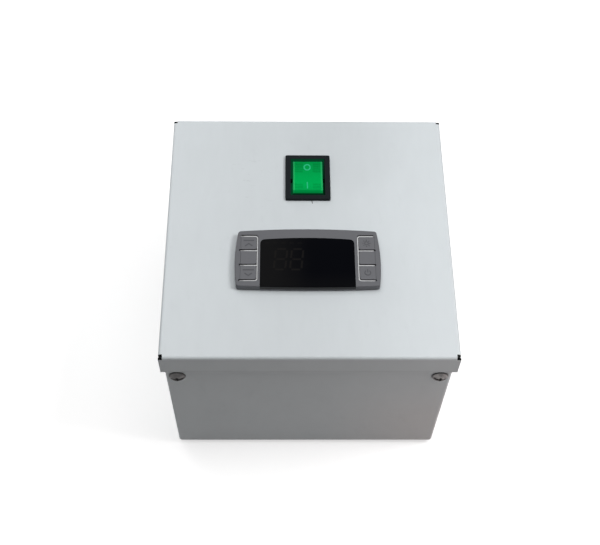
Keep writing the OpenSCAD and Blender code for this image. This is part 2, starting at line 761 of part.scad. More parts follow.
bearing_x = [fan_x + 6.2, fan_end - hub_t - bearing_l];
module fan_bearings() {
    color("silver") for (x = bearing_x) difference() {
        rod_x(bearing_r, x, x + bearing_l, fan_y, fan_z);
        rod_x(shaft_r + running_play, x - 1, x + bearing_l + 1, fan_y, fan_z);
    }
}

cup_x = [fan_x + 2.5, fan_end - hub_t - 1.5];
module fan_rotor() {
    color([0.16, 0.16, 0.17]) {
        difference() {
            rod_x(cup_r, cup_x[0], cup_x[1], fan_y, fan_z);
            rod_x(cup_r - cup_wall, cup_x[0] + 1.5, cup_x[1] + 1, fan_y, fan_z);
        }
        rod_x(shaft_r, cup_x[0] + 1, fan_end - hub_t - 0.4, fan_y, fan_z);
        intersection() {
            for (i = [0 : blade_count - 1])
                translate([(cup_x[0] + cup_x[1]) / 2, fan_y, fan_z]) rotate([i * 360 / blade_count, 0, 0])
                    rotate([0, 0, blade_pitch_deg])
                        block([-blade_chord / 2, -blade_t / 2, cup_r - 0.8],
                            [blade_chord / 2, blade_t / 2, blade_r + 2]);
            difference() {
                rod_x(blade_r, cup_x[0], cup_x[1], fan_y, fan_z);
                rod_x(cup_r - 0.5, cup_x[0] - 1, cup_x[1] + 1, fan_y, fan_z);
            }
        }
    }
}

module fan_magnet() {
    outer = cup_r - cup_wall;
    color("dimgray") difference() {
        rod_x(outer, cup_x[0] + 4, cup_x[1] - 1, fan_y, fan_z);
        rod_x(outer - 1.2, cup_x[0] + 3, cup_x[1], fan_y, fan_z);
    }
}

module fan_stator() {
    outer = cup_r - cup_wall - 1.8;
    x0 = cup_x[0] + 5;
    x1 = cup_x[1] - 3;
    color("chocolate") difference() {
        rod_x(outer, x0, x1, fan_y, fan_z);
        rod_x(holder_r + 0.02, x0 - 1, x1 + 1, fan_y, fan_z);
        for (a = [0 : 90 : 270]) translate([x0 - 1, fan_y, fan_z]) rotate([a + 45, 0, 0])
            block([0, -1.2, holder_r + 1.6], [x1 - x0 + 2, 1.2, outer + 1]);
    }
}

module fan_screws() {
    color("gainsboro") at_fan_screws(-half_tray) pan_screw(m4_r, fan_depth + sheet + m4_nut_h + 1);
}

module fan_nuts() {
    color("silver") at_fan_screws(fan_end + m4_nut_h) hex_nut();
}

heater_in = [duct_in[0] + 8, duct_in[1] - 8];  // between the end caps
module heater_fins() {
    pitch = (heater_in[1] - heater_in[0]) / fin_count;
    color("lightgray") for (z = concat([heater_bar_z[0] - 9.8], [for (h = heater_bar_z) h + heater_bar_h]))
        for (i = [0 : fin_count - 1])
            block([heater_x[0] + 2, heater_in[0] + (i + 0.3) * pitch, z + 0.02],
                [heater_x[1] - 2, heater_in[0] + (i + 0.3) * pitch + fin_t, z + 9.78]);
    // thin plates that tie the outer fins together
    color("lightgray") for (z = [heater_bar_z[0] - 10.4, heater_bar_z[2] + heater_bar_h + 9.6])
        block([heater_x[0] + 2, heater_in[0], z], [heater_x[1] - 2, heater_in[1], z + 0.8]);
}

module heater_bars() {
    color("silver") for (z = heater_bar_z)
        block([heater_x[0], heater_in[0], z], [heater_x[1], heater_in[1], z + heater_bar_h]);
}

module heater_end_caps() {
    low = floor_z;
    high = heater_bar_z[2] + 18;
    color([0.2, 0.18, 0.16]) for (y = [[duct_in[0] + 0.2, heater_in[0]], [heater_in[1], duct_in[1] - 0.2]])
        block([heater_x[0] - 2, y[0], low], [heater_x[1] + 2, y[1], high]);
}

module thermal_cutout() {
    top = duct_top + duct_t;
    color([0.15, 0.12, 0.1]) rod_z(8, top + 0.5, top + 7, cutout_disc[0], cutout_disc[1]);
    color("silver") {
        translate([cutout_disc[0], cutout_disc[1], top + 0.3]) cube([8, 24, 0.6], center = true);
        for (x = [-5, 5])
            translate([cutout_disc[0] + x, cutout_disc[1], top + 9.45]) cube([0.8, 6.3, 5.1], center = true);
    }
}

module temperature_probe() {
    tip = duct_top - 24;
    top = duct_top + 6;
    color("silver") {
        rod_z(probe_r, tip + probe_r, top, probe_at[0], probe_at[1]);
        translate([probe_at[0], probe_at[1], tip + probe_r]) sphere(r = probe_r);
    }
}

module probe_grommet() {
    color("black") difference() {
        union() {
            rod_z(probe_r + 1.58, duct_top - 1.5, duct_top + duct_t + 1.5, probe_at[0], probe_at[1]);
            rod_z(probe_r + 3, duct_top + duct_t, duct_top + duct_t + 1.5, probe_at[0], probe_at[1]);
            rod_z(probe_r + 3, duct_top - 1.5, duct_top, probe_at[0], probe_at[1]);
        }
        rod_z(probe_r, duct_top - 3, duct_top + 5, probe_at[0], probe_at[1]);
    }
}

// ---- Mains inlet ----

// The socket's outline: two corners of its far side are cut off
module socket_shape(w, h) {
    cut = 5;
    polygon([[-w / 2, -h / 2], [w / 2, -h / 2], [w / 2, h / 2 - cut], [w / 2 - cut, h / 2],
        [-w / 2 + cut, h / 2], [-w / 2, h / 2 - cut]]);
}

module inlet_socket() {
    back = half_tray - inlet_body[1];
    color([0.11, 0.11, 0.12]) difference() {
        union() {
            translate([inlet_x, half_tray, inlet_z]) rotate([-90, 0, 0]) linear_extrude(inlet_face - half_tray)
                round_rect(inlet_flange[0], inlet_flange[1], 4);
            block([inlet_x - inlet_body[0] / 2, back, inlet_z - inlet_body[2] / 2],
                [inlet_x + inlet_body[0] / 2, half_tray, inlet_z + inlet_body[2] / 2]);
        }
        translate([inlet_x, inlet_face + 1, socket_z]) rotate([90, 0, 0])
            linear_extrude(socket_size[1] + 1) socket_shape(socket_size[0], socket_size[2] - 1);
        // slot of the fuse drawer
        translate([inlet_x, (drawer_back + inlet_face + 0.5) / 2, drawer_z])
            cube([drawer_size[0] + 2 * drawer_play, inlet_face - drawer_back + 1.5,
                drawer_size[1] + 2 * drawer_play], center = true);
        // slots of the three pins
        for (p = inlet_pin_at) translate([inlet_x + p[0], back - 1, socket_z + p[1]])
            block([-1.02, 0, -2.02], [1.02, 15, 2.02]);
        for (x = inlet_screw_x) on_back(x, inlet_z, inlet_face) {
            cylinder(r = m3_r + 0.2, h = 20, center = true);
            translate([0, 0, -1.65]) cylinder(r1 = m3_r + 0.1, r2 = m3_r + 1.8, h = 1.7);
        }
    }
}

inlet_pin_at = [[-7, -1.5], [0, 2.5], [7, -1.5]];
module inlet_pins() {
    back = half_tray - inlet_body[1];
    color("silver") for (p = inlet_pin_at) translate([inlet_x + p[0], 0, socket_z + p[1]])
        block([-1, back - 8, -2], [1, inlet_face - 3, 2]);
}

module fuse_drawer() {
    half = drawer_size / 2;
    color([0.14, 0.14, 0.15]) translate([inlet_x, 0, drawer_z]) difference() {
        union() {
            block([-half[0], drawer_back, -half[1]], [half[0], inlet_face - 0.4, half[1]]);
            block([-half[0] + 5, inlet_face - 1, -half[1] + 0.4], [half[0] - 5, inlet_face, -half[1] + 1.6]);
        }
        block([-half[0] + 1.2, drawer_back + 1.5, -half[1] + 1], [half[0] - 1.2, inlet_face - 4, half[1] + 1]);
    }
}

module fuse() {
    z = drawer_z + 0.7;
    y = drawer_back + 7;
    color("silver") for (x = [-8.6, 4.6]) rod_x(fuse_r + 0.1 - 0.6, inlet_x + x, inlet_x + x + 4, y, z);
    color("aliceblue") rod_x(fuse_r - 0.8, inlet_x - 4.6, inlet_x + 4.6, y, z);
}

module inlet_fasteners() {
    color("silver") for (x = inlet_screw_x) {
        on_back(x, inlet_z, inlet_face) {
            translate([0, 0, -9]) cylinder(r = m3_r, h = 7.5);
            difference() {
                translate([0, 0, -1.6]) cylinder(r1 = m3_r, r2 = m3_r + 1.6, h = 1.6);
                translate([-2, -0.3, -0.7]) cube([4, 0.6, 1]);
                translate([-0.3, -2, -0.7]) cube([0.6, 4, 1]);
            }
        }
        on_back(x, inlet_z, half_in - 2.4) difference() {
            hex(5.5, 2.4);
            translate([0, 0, -1]) cylinder(r = m3_r + 0.02, h = 5);
        }
    }
}

// ---- Floor of the box ----

strip_pitch = 9;
strip_ways = 7;
strip_at = [-strip_ways * strip_pitch / 2, -59, floor_z];
strip_bore_z = 7;                            // height of the wire holes above the floor
module terminal_strip() {
    w = strip_ways * strip_pitch;
    color("ivory") translate(strip_at) difference() {
        union() {
            cube([w, 17, 2.5]);
            for (i = [0 : strip_ways - 1])
                translate([i * strip_pitch + 0.8, 1, 2]) cube([strip_pitch - 1.6, 15, 11]);
        }
        for (i = [0 : strip_ways - 1]) translate([(i + 0.5) * strip_pitch, 0, 0]) {
            translate([0, -1, strip_bore_z]) rotate([-90, 0, 0]) cylinder(r = 1.8, h = 20);
            for (y = [5, 12]) translate([0, y, 10]) cylinder(r = 1.9, h = 5);
        }
    }
}

earth_at = [-54, -50];
module earth_stud() {
    color("silver") translate([earth_at[0], earth_at[1], floor_z]) {
        cylinder(r = m4_r, h = 14);
        difference() {
            hex(m4_flats, m4_nut_h);
            translate([0, 0, -1]) cylinder(r = m4_r - 0.3, h = 6);
        }
        translate([0, 0, m4_nut_h]) difference() {
            union() {
                cylinder(r = 4.2, h = 0.8);
                translate([-1.6, 0, 0]) cube([3.2, 12, 0.8]);
            }
            translate([0, 0, -1]) cylinder(r = m4_r - 0.3, h = 3);
        }
    }
}

// ---- Wiring ----

// A smooth point between b and c at t, passing through all four points' middle pair
function spline(a, b, c, d, t) = 0.5 * (2 * b + (c - a) * t + (2 * a - 5 * b + 4 * c - d) * t * t
    + (3 * b - a - 3 * c + d) * t * t * t);
function route(p, n = 4) = let (last = len(p) - 1)
    [for (i = [0 : last - 1], j = [0 : n - 1])
        spline(p[max(i - 1, 0)], p[i], p[i + 1], p[min(i + 2, last)], j / n), p[last]];
function unit(v) = v / norm(v);

// Directions across the way, each turned as little as it can be from the one before
function across(ways, i, u) = let (v = unit(u - ways[i] * (u * ways[i])))
    i == len(ways) - 1 ? [v] : concat([v], across(ways, i + 1, v));

// A tube of eight sides along a route
module tube(points, r) {
    p = route(points);
    n = len(p);
    sides = 8;
    ways = [for (i = [0 : n - 1]) unit(p[min(i + 1, n - 1)] - p[max(i - 1, 0)])];
    flats = across(ways, 0, cross(ways[0], [0.31, 0.94, 0.17]));
    ring = [for (i = [0 : n - 1], k = [0 : sides - 1])
        p[i] + r * (flats[i] * cos(360 * k / sides) + cross(ways[i], flats[i]) * sin(360 * k / sides))];
    walls = [for (i = [0 : n - 2], k = [0 : sides - 1]) let (a = i * sides, q = (k + 1) % sides)
        [a + k, a + sides + k, a + sides + q, a + q]];
    first = [for (k = [0 : sides - 1]) k];
    last = [for (k = [sides - 1 : -1 : 0]) (n - 1) * sides + k];
    polyhedron(points = ring, faces = concat(walls, [first, last]));
}

wire_r = 1.1;
thin_r = 0.8;
// Height of the wire holes, and where the wires end inside them
strip_z = floor_z + strip_bore_z;
strip_y = strip_at[1] + 12;
inlet_tab_y = half_tray - inlet_body[1] - 8;
cap_z = 53;                                  // height of the heater's leads
// Colour, radius and route of each wire
wires = [
    ["saddlebrown", wire_r, [[-43, inlet_tab_y - 0.1, 83.7], [-43, 26, 84], [-44, 10, 76], [-44, 0, 62],
        [-44, -14, 42], [-38, -30, 20], [-28, -39, strip_z], [-27, strip_y, strip_z]]],
    ["steelblue", wire_r, [[-29, inlet_tab_y - 0.1, 83.7], [-30, 26, 82], [-39, 10, 74], [-40, 0, 60],
        [-38, -14, 38], [-28, -28, 18], [-19, -38, strip_z], [-18, strip_y, strip_z]]],
    ["yellowgreen", wire_r, [[-36, inlet_tab_y - 0.1, 87.7], [-40, 26, 91], [-56, 10, 84], [-62, -6, 62],
        [-60, -20, 40], [-57, -28, 20], [-54.4, -33, 9.4], [-54, -37.9, 7.9]]],
    ["saddlebrown", wire_r, [[-4.2, 34.4, 82.9], [-5, 26, 76], [-2, 10, 71], [2, 1, 65], [4, -1, 52],
        [4, -16, 32], [1, -32, 16], [0, -39, strip_z], [0, strip_y, strip_z]]],
    ["steelblue", wire_r, [[4.2, 41.4, 82.9], [8, 32, 74], [12, 12, 71], [16, 1, 65], [19, -1, 52],
        [20, -16, 32], [18, -32, 16], [18, -39, strip_z], [18, strip_y, strip_z]]],
    ["firebrick", wire_r, [[-1.4, 6, cap_z], [-1.4, 3, cap_z], [0, 0, cap_z - 3], [10, -8, 40], [24, -24, 24],
        [28, -36, 13], [27, -41, strip_z], [27, strip_y, strip_z]]],
    ["black", wire_r, [[-4.2, 6, cap_z], [-4.2, 3, cap_z], [-5, 0, cap_z - 3], [-4, -10, 38], [4, -24, 24],
        [9, -36, 13], [9, -41, strip_z], [9, strip_y, strip_z]]],
    ["dimgray", thin_r, [[probe_at[0], probe_at[1], duct_top + 6], [47, 35, 76], [46, 24, 79], [42, 10, 74],
        [36, 1, 66], [34, -4, 54], [28, -12, 42], [22, -18, 41], [20, -19, 47.9]]],
    ["red", thin_r, [[fan_end + 6, 8, 8], [fan_end + 6, 2, 8], [-40, -6, 9], [-28, -20, 12], [-14, -34, 13],
        [-9, -40, strip_z], [-9, strip_y, strip_z]]]
];

module wiring() {
    for (w = wires) color(w[0]) tube(w[2], w[1]);
}

base_tray();
lid();
lid_bracket(-1, -1);  // lid_bracket_front_left
lid_bracket(1, -1);  // lid_bracket_front_right
lid_bracket(-1, 1);  // lid_bracket_back_left
lid_bracket(1, 1);  // lid_bracket_back_right
lid_screws();
lid_clinch_nuts();
rubber_feet();
switch_housing();
switch_rocker();
rocker_plunger();
switch_levers();
switch_terminals();
switch_lamp();
controller_bezel();
display_lens();
tongue_key(key_left_x, 0);  // key_left_top
tongue_key(key_left_x, 1);  // key_left_middle
tongue_key(key_left_x, 2);  // key_left_bottom
tongue_key(key_right_x, 0);  // key_right_top
tongue_key(key_right_x, 1);  // key_right_middle
tongue_key(key_right_x, 2);  // key_right_bottom
key_membranes();
controller_gasket();
controller_housing();
display_digits();
display_board();
tact_switches();
power_board();
relay();
transformer();
board_ribbon();
controller_terminals();
panel_clip(-1);  // panel_clip_left
panel_clip(1);  // panel_clip_right
air_duct();
duct_screws();
duct_nuts();
fan_frame();
fan_rotor();
fan_magnet();
fan_bearings();
fan_stator();
fan_screws();
fan_nuts();
heater_fins();
heater_bars();
heater_end_caps();
thermal_cutout();
temperature_probe();
probe_grommet();
inlet_socket();
inlet_pins();
fuse_drawer();
fuse();
inlet_fasteners();
terminal_strip();
earth_stud();
wiring();
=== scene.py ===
import json
from functools import cached_property
from math import cos, pi, radians, sin, sqrt, tan

import bmesh
import bpy
from bpy.props import FloatProperty, FloatVectorProperty, IntProperty, PointerProperty
from mathutils import Matrix, Vector

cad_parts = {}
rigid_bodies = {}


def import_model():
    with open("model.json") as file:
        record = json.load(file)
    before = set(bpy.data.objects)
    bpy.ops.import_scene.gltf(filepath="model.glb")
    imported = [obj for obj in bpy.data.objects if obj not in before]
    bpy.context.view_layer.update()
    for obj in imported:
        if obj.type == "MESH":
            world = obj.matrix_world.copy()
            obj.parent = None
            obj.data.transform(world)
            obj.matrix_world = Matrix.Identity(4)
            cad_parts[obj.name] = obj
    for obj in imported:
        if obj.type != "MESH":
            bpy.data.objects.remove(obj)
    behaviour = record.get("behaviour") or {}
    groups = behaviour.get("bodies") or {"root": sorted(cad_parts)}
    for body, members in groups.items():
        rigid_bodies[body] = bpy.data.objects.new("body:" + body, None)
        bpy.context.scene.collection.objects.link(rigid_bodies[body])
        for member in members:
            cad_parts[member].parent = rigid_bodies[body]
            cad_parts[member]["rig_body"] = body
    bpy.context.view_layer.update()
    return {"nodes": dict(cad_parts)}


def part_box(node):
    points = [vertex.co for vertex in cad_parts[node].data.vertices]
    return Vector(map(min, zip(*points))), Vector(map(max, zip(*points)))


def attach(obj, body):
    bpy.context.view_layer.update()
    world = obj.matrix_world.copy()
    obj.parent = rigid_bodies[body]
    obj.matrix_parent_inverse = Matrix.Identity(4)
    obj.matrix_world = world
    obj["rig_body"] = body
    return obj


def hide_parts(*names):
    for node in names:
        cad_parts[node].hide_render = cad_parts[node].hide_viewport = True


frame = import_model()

bl_info = {
    "name": "Filament Dryer Unit",
    "version": (1, 0, 0),
    "blender": (4, 5, 0),
    "location": "View3D > Sidebar > Dryer",
    "description": "Dresses a filament dryer's heater unit: steel box, rocker switch, controller, fan and inlet",
    "category": "Add Mesh",
}

MM = 0.001
NODES = frame["nodes"]


def linear(*parts):
    """Scene colour of three parts from 0 to 255."""
    scaled = [part / 255 for part in parts]
    return tuple(c / 12.92 if c <= 0.04045 else ((c + 0.055) / 1.055) ** 2.4 for c in scaled)


def times(colour, factor):
    return tuple(min(1.0, c * factor) for c in colour[:3])


# ---- Sizes, in millimetres ----

def span(node):
    """Lowest and highest corner of a solid."""
    low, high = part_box(node)
    return low / MM, high / MM


LID_LOW, LID_HIGH = span("lid")
TRAY_LOW, TRAY_HIGH = span("base_tray")
FACE = span("controller_bezel")[1].z
LID_TOP = LID_HIGH.z
HALF_LID = LID_HIGH.x
HALF_TRAY = TRAY_HIGH.x
SHEET = 1.2
RELIEF = Vector((2, 2.2, 1.5))              # the lid's corner notches: across, along and down
LID_SCREWS = [(x, side) for side in (-1, 1) for x in (-67.2, 67.2)]
LID_SCREW_Z = 90
FAN = Vector((0, 36, 34.2))
FAN_SCREWS = [(y, z) for y in (-25, 25) for z in (-25, 25)]
DUCT_SCREWS = [(24, 72.4), (48, 72.4), (-1.2, 18), (-1.2, 50)]
INLET_X = -36
INLET_Z = 81

SWITCH_Y = 34.4
HALF_ROCKER = Vector((8.1, 10.5, 0))
ROCKER_RISE = 3.5                           # from the pins to the middle of the rocker's face
ROCKER_SLOPE = radians(5.5)                 # of each half of the face
ROCKER_TILT = radians(6)                    # at rest
PIVOT_Z = 110.8

BEZEL_Z = LID_TOP + 0.6                     # underside of the bezel
PANEL = Vector((-0.6, -18.95, 0))           # middle of the bezel
HALF_BEZEL = (37.6, 17.7)
BOW_FAR, BOW_NEAR, BOW_SIDE = 1.3, 0.7, 1.0
BEZEL_NEAR = PANEL.y - HALF_BEZEL[1]
HOUSING_Y = -18.9
WINDOW_X = (-25.2, 23.7)
WINDOW_FAR = -6.9
WINDOW_BOW = 0.9
LENS_T = 1.4
KEY_Y = [-6.2, -14.7, -23.6, -32.8]
KEY_ENDS = {"left": (-35.3, -27.0), "right": (34.3, 25.9)}
KEY_TOP = FACE - 0.04
KEY_LOW = FACE - 2.6
GROOVE = 0.7
GROOVE_RUN = {"left": 0.9, "right": 0.3}    # how far the grooves run out past the keys
RIB_RUN = {"left": 0.2, "right": -0.4}      # and the ribs in them
RIB = 0.26                                  # half the width of a rib


# ---- Materials ----

class Value:
    """A number or a colour that a socket gives. Arithmetic on a number adds Math nodes."""

    def __init__(self, finish, socket):
        self.finish = finish
        self.socket = socket

    def maths(self, operation, *parts):
        node = self.finish.node("ShaderNodeMath", {"operation": operation}, dict(enumerate(parts)))
        return Value(self.finish, node.outputs[0])

    def __add__(self, other):
        return self.maths("ADD", self, other)

    __radd__ = __add__

    def __sub__(self, other):
        return self.maths("SUBTRACT", self, other)

    def __rsub__(self, other):
        return self.maths("SUBTRACT", other, self)

    def __mul__(self, other):
        return self.maths("MULTIPLY", self, other)

    __rmul__ = __mul__

    def __abs__(self):
        return self.maths("ABSOLUTE", self)

    def __mod__(self, other):
        return self.maths("FLOORED_MODULO", self, other)

    def most(self, other):
        return self.maths("MAXIMUM", self, other)

    def rise(self, start, end):
        """0 below start, 1 past end, and a smooth step between them."""
        ends = {"From Min": start, "From Max": end, "Value": self}
        node = self.finish.node("ShaderNodeMapRange", {"interpolation_type": "SMOOTHSTEP"}, ends)
        return Value(self.finish, node.outputs["Result"])

    def within(self, reach, soft):
        """1 up to reach from zero on both sides, then 0."""
        return 1 - abs(self).rise(reach - soft / 2, reach + soft / 2)


class Finish:
    """The nodes of a new material, or of the given world."""

    def __init__(self, name, owner=None):
        self.owner = owner or bpy.data.materials.new(name)
        self.owner.use_nodes = True
        self.tree = self.owner.node_tree
        self.tree.nodes.clear()

    @cached_property
    def origin(self):
        return self.node("ShaderNodeTexCoord").outputs["Object"]

    def node(self, kind, settings=None, inputs=None):
        """Adds a node: its settings first, then the values or links of its sockets."""
        node = self.tree.nodes.new(kind)
        for key, setting in (settings or {}).items():
            if key == "stops":
                self.set_stops(node.color_ramp, setting)
            else:
                setattr(node, key, setting)
        for key, value in (inputs or {}).items():
            if isinstance(value, Value):
                self.tree.links.new(value.socket, node.inputs[key])
            elif isinstance(value, bpy.types.NodeSocket):
                self.tree.links.new(value, node.inputs[key])
            else:
                node.inputs[key].default_value = value
        return node

    @staticmethod
    def set_stops(ramp, stops):
        while len(ramp.elements) < len(stops):
            ramp.elements.new(1)
        for element, (position, colour) in zip(ramp.elements, stops):
            element.position = position
            element.color = (*colour, 1)

    def place(self, *centre):
        """X, Y and Z in millimetres from a point on the object."""
        node = self.node("ShaderNodeSeparateXYZ", None, {0: self.origin})
        return [Value(self, node.outputs[i]) * (1 / MM) - c for i, c in enumerate(centre)]

    def noise(self, size, detail=2.0, stretch=(1, 1, 1), rough=0.5):
        """Noise from 0 to 1 whose patches are about size millimetres across."""
        scale = [s / (size * MM) for s in stretch]
        mapping = self.node("ShaderNodeMapping", {"vector_type": "POINT"}, {"Vector": self.origin, "Scale": scale})
        inputs = {"Vector": mapping.outputs[0], "Scale": 1.0, "Detail": detail, "Roughness": rough}
        node = self.node("ShaderNodeTexNoise", {"noise_dimensions": "3D"}, inputs)
        return Value(self, node.outputs[0])

    def mix(self, factor, first, second, blend="MIX"):
        """A colour between two, where factor 0 is the first."""
        colours = {6: self.colour(first), 7: self.colour(second), 0: factor}
        node = self.node("ShaderNodeMix", {"data_type": "RGBA", "blend_type": blend}, colours)
        return Value(self, node.outputs[2])

    def shade(self, factor, base, strength):
        """The colour, made darker or brighter by strength where factor is 1."""
        return self.mix(factor, base, (strength,) * 3, "MULTIPLY")

    @staticmethod
    def colour(value):
        return value if isinstance(value, Value) else (*value[:3], 1)

    def ramp(self, factor, stops):
        return Value(self, self.node("ShaderNodeValToRGB", {"stops": stops}, {0: factor}).outputs[0])

    def done(self, values, height=None, depth=0.02):
        """Ends in one shader; height is a relief of the given depth in millimetres."""
        inputs = dict(values)
        if height is not None:
            bump = self.node("ShaderNodeBump", None, {"Strength": 1.0, "Distance": depth * MM, "Height": height})
            inputs["Normal"] = bump.outputs[0]
        for key in ("Base Color", "Emission Color"):
            if key in inputs:
                inputs[key] = self.colour(inputs[key])
        shader = self.node("ShaderNodeBsdfPrincipled", None, inputs)
        self.node("ShaderNodeOutputMaterial", None, {"Surface": shader.outputs[0]})
        return self.owner


def moulded(name, colour, rough=0.5, cloud=0.05, grain=0.7, depth=0.012, specular=0.5):
    """Moulded plastic or rubber: faint clouding, a fine grain, and patches with more shine."""
    finish = Finish(name)
    patches = finish.noise(14, 3)
    base = finish.mix(patches, times(colour, 1 - cloud), times(colour, 1 + cloud))
    shine = rough - 0.08 + patches * 0.16
    values = {"Base Color": base, "Roughness": shine, "Specular IOR Level": specular}
    return finish.done(values, finish.noise(grain, 2), depth)


def silicone(name, colour):
    """Pale rubber with painted shade at the foot of its ribs, and half as much at their outer ends."""
    finish = Finish(name)
    x, _, z = finish.place(0, 0, FACE)
    patches = finish.noise(6, 3)
    # painted shade: dark below the ribs' tops, and half dark at their outer ends
    unshaded = z.rise(-0.7, -0.45) * (1 - (abs(x) - 30).rise(3.0, 4.2) * 0.5)
    base = finish.mix(patches, times(colour, 0.9), times(colour, 1.05))
    base = finish.mix(unshaded, linear(34, 34, 36), base)
    return finish.done({"Base Color": base, "Roughness": 0.55 + patches * 0.15}, patches, 0.01)


def metal(name, colour, rough=0.35, brush=(1, 1, 1), size=2.0, spangle=0.0):
    """Bare or plated metal, with drawn lines where brush stretches them, or with zinc's spangle."""
    finish = Finish(name)
    lines = finish.noise(size, 4, brush, 0.6)
    patches = finish.noise(8, 2)
    tone = lines * 0.5 + patches * 0.5
    if spangle:
        cells = finish.node("ShaderNodeTexVoronoi", {"feature": "F1"}, {"Vector": finish.origin, "Scale": 180.0})
        grey = finish.node("ShaderNodeRGBToBW", None, {0: cells.outputs["Color"]})
        tone = tone * (1 - spangle) + Value(finish, grey.outputs[0]) * spangle
    base = finish.mix(tone, times(colour, 0.8), times(colour, 1.15))
    values = {"Base Color": base, "Metallic": 1.0, "Roughness": rough - 0.1 + tone * 0.2}
    return finish.done(values, lines, 0.01)


def tarnished_and_shaded(name, colour):
    """Zinc-plated screw heads: stained, with painted shade on the left and a painted shadow where they meet the
    wall.
    """
    finish = Finish(name)
    x, y, _ = finish.place(0, 0, 0)
    # the stains' colour, also used for the painted shade on the left
    tarnish_and_shade = linear(52, 52, 53)
    proud = abs(x).most(abs(y)) - HALF_TRAY
    dirt = finish.noise(2.5, 4, rough=0.65)
    # painted shadow: dark and less metallic where the heads meet the wall
    rim = 1 - (proud + dirt * 0.5).rise(0.7, 1.2)
    stain = finish.noise(3.2, 3, rough=0.6).rise(0.42, 0.58)
    # painted shade: darker on the left
    shaded_left = 1 - x.rise(-40, 40)
    base = finish.mix(dirt, times(colour, 0.85), times(colour, 1.2))
    base = finish.mix(stain * 0.45, base, tarnish_and_shade)
    base = finish.mix(shaded_left * 0.5, base, tarnish_and_shade)
    base = finish.mix(rim * 0.85, base, linear(30, 30, 30))
    values = {"Base Color": base, "Metallic": 1.0 - rim * 0.6, "Roughness": 0.42 + dirt * 0.2}
    return finish.done(values, dirt, 0.03)


def powder_coat(name, colour, marks_and_shade):
    """White powder coat: fine orange peel, faint mottle and smears, grit, and the given wear and painted shade."""
    finish = Finish(name)
    peel = finish.noise(1.1, 2)
    cloud = finish.noise(45, 3)
    mottle = finish.noise(9, 3, (1.6, 0.55, 1))
    smear = finish.noise(16, 5, (2.4, 1, 1), 0.65).rise(0.56, 0.74)
    grit = finish.noise(0.8, 1).rise(0.74, 0.8)
    base = finish.mix(cloud, times(colour, 0.975), times(colour, 1.02))
    base = finish.mix(1.0, base, mottle * 0.055 + 0.9725, "MULTIPLY")
    base = finish.mix(smear * 0.5, base, times(colour, 0.955))
    base = finish.mix(grit * 0.35, base, times(colour, 0.9))
    base, painted_gap_shade = marks_and_shade(finish, base, colour)
    # painted shade: near black, and metallic, in the gaps that the given mask marks
    base = finish.mix(painted_gap_shade, base, linear(8, 8, 9))
    values = {"Base Color": base, "Metallic": painted_gap_shade, "Roughness": 0.42 + smear * 0.1 + cloud * 0.08}
    return finish.done(values, peel, 0.016)


def tray_shade_and_light(finish, base, colour):
    """The tray's colour, with patchy painted shade along its corners and bottom edge, painted shade under the
    lid's lip, a painted warm light low on the right of the front, and a mask of painted shade in the corners under
    the lid.
    """
    x, y, z = finish.place(0, 0, 0)
    across, along = abs(x), abs(y)
    # painted shade along the vertical corners and the bottom edge, in patches
    upright = across.rise(HALF_TRAY - 0.5, HALF_TRAY - 0.2) * along.rise(HALF_TRAY - 1.4, HALF_TRAY - 0.8)
    shaded_edges = upright.most(1 - z.rise(TRAY_LOW.z + 0.6, TRAY_LOW.z + 1.2))
    patchy = finish.noise(5, 4, (1, 1, 0.4), 0.7).rise(0.3, 0.7)
    # painted shade on the walls under the lid's lip
    base = finish.shade(z.rise(LID_LOW.z - 10, LID_LOW.z - 1), base, 0.94)
    # painted warm light low on the right of the front wall
    front = (-1 * y).rise(HALF_TRAY - 1, HALF_TRAY - 0.5)
    warm_painted_light = front * x.rise(0, 70) * (1 - z.rise(30, 95))
    base = finish.mix(warm_painted_light, base, (1.08, 1.0, 0.97), "MULTIPLY")
    base = finish.mix(shaded_edges * (0.55 + patchy * 0.35), base, linear(66, 64, 63))
    # painted shade in the corners hidden under the lid
    painted_gap_shade = across.rise(HALF_TRAY - 1.8, HALF_TRAY - 1.4) * along.rise(HALF_TRAY - 2.2, HALF_TRAY - 1.8)
    return base, painted_gap_shade * z.rise(LID_LOW.z + 1, LID_LOW.z + 2)


def lid_wear_and_shade(finish, base, colour):
    """The lid's colour, with a painted reflection across the top, painted shade on the flanges and their lower
    edge, scuffs and a scratch, and a mask of painted shade in its reliefs.
    """
    x, y, z = finish.place(0, 0, LID_TOP)
    # painted shade in the corner reliefs and the seams beside them
    edge_x, edge_y = HALF_LID - RELIEF.x, HALF_LID - RELIEF.y
    corner = abs(x).rise(edge_x - 0.2, edge_x - 0.05) * abs(y).rise(edge_y - 0.2, edge_y - 0.05)
    seam = 1 - abs(y).rise(HALF_LID - SHEET - 0.15, HALF_LID - SHEET - 0.05)
    painted_gap_shade = corner * z.rise(-RELIEF.z - 0.3, -RELIEF.z - 0.1).most(seam)
    # painted reflection on the top: lighter towards the left and right edges, darker in the middle and in a patch
    # beyond the switch on its right
    painted_reflection = abs(x + 5).rise(0, 85) * 0.095 + 0.962
    aside, beyond = (x - 22) * (1 / 30), (y - 55) * (1 / 32)
    painted_reflection = painted_reflection - (1 - (aside * aside + beyond * beyond).rise(0.1, 1.3)) * 0.045
    base = finish.mix(z.rise(-1.6, -0.4), base, painted_reflection, "MULTIPLY")
    # painted shade on the flanges, and more along their lowest edge
    hem = LID_LOW.z - LID_TOP
    base = finish.shade(1 - z.rise(-3, -2), base, 0.955)
    base = finish.shade(1 - z.rise(hem + 1, hem + 2.5), base, 0.92)
    on_top = z.rise(-0.4, -0.1)
    scuffs = finish.noise(3, 4, (0.5, 1.6, 1), 0.7).rise(0.6, 0.68)
    near = (x + 30).within(12, 14) * (y - 34).within(16, 18)
    base = finish.mix(scuffs * near * on_top * 0.6, base, times(colour, 0.86))
    scratch_mark = (x - 2.3 + (y - 18.4) * 0.16).within(0.26, 0.2) * (y - 18.8).within(0.9, 0.4)
    return finish.mix(scratch_mark * on_top * 0.85, base, linear(70, 72, 74)), painted_gap_shade


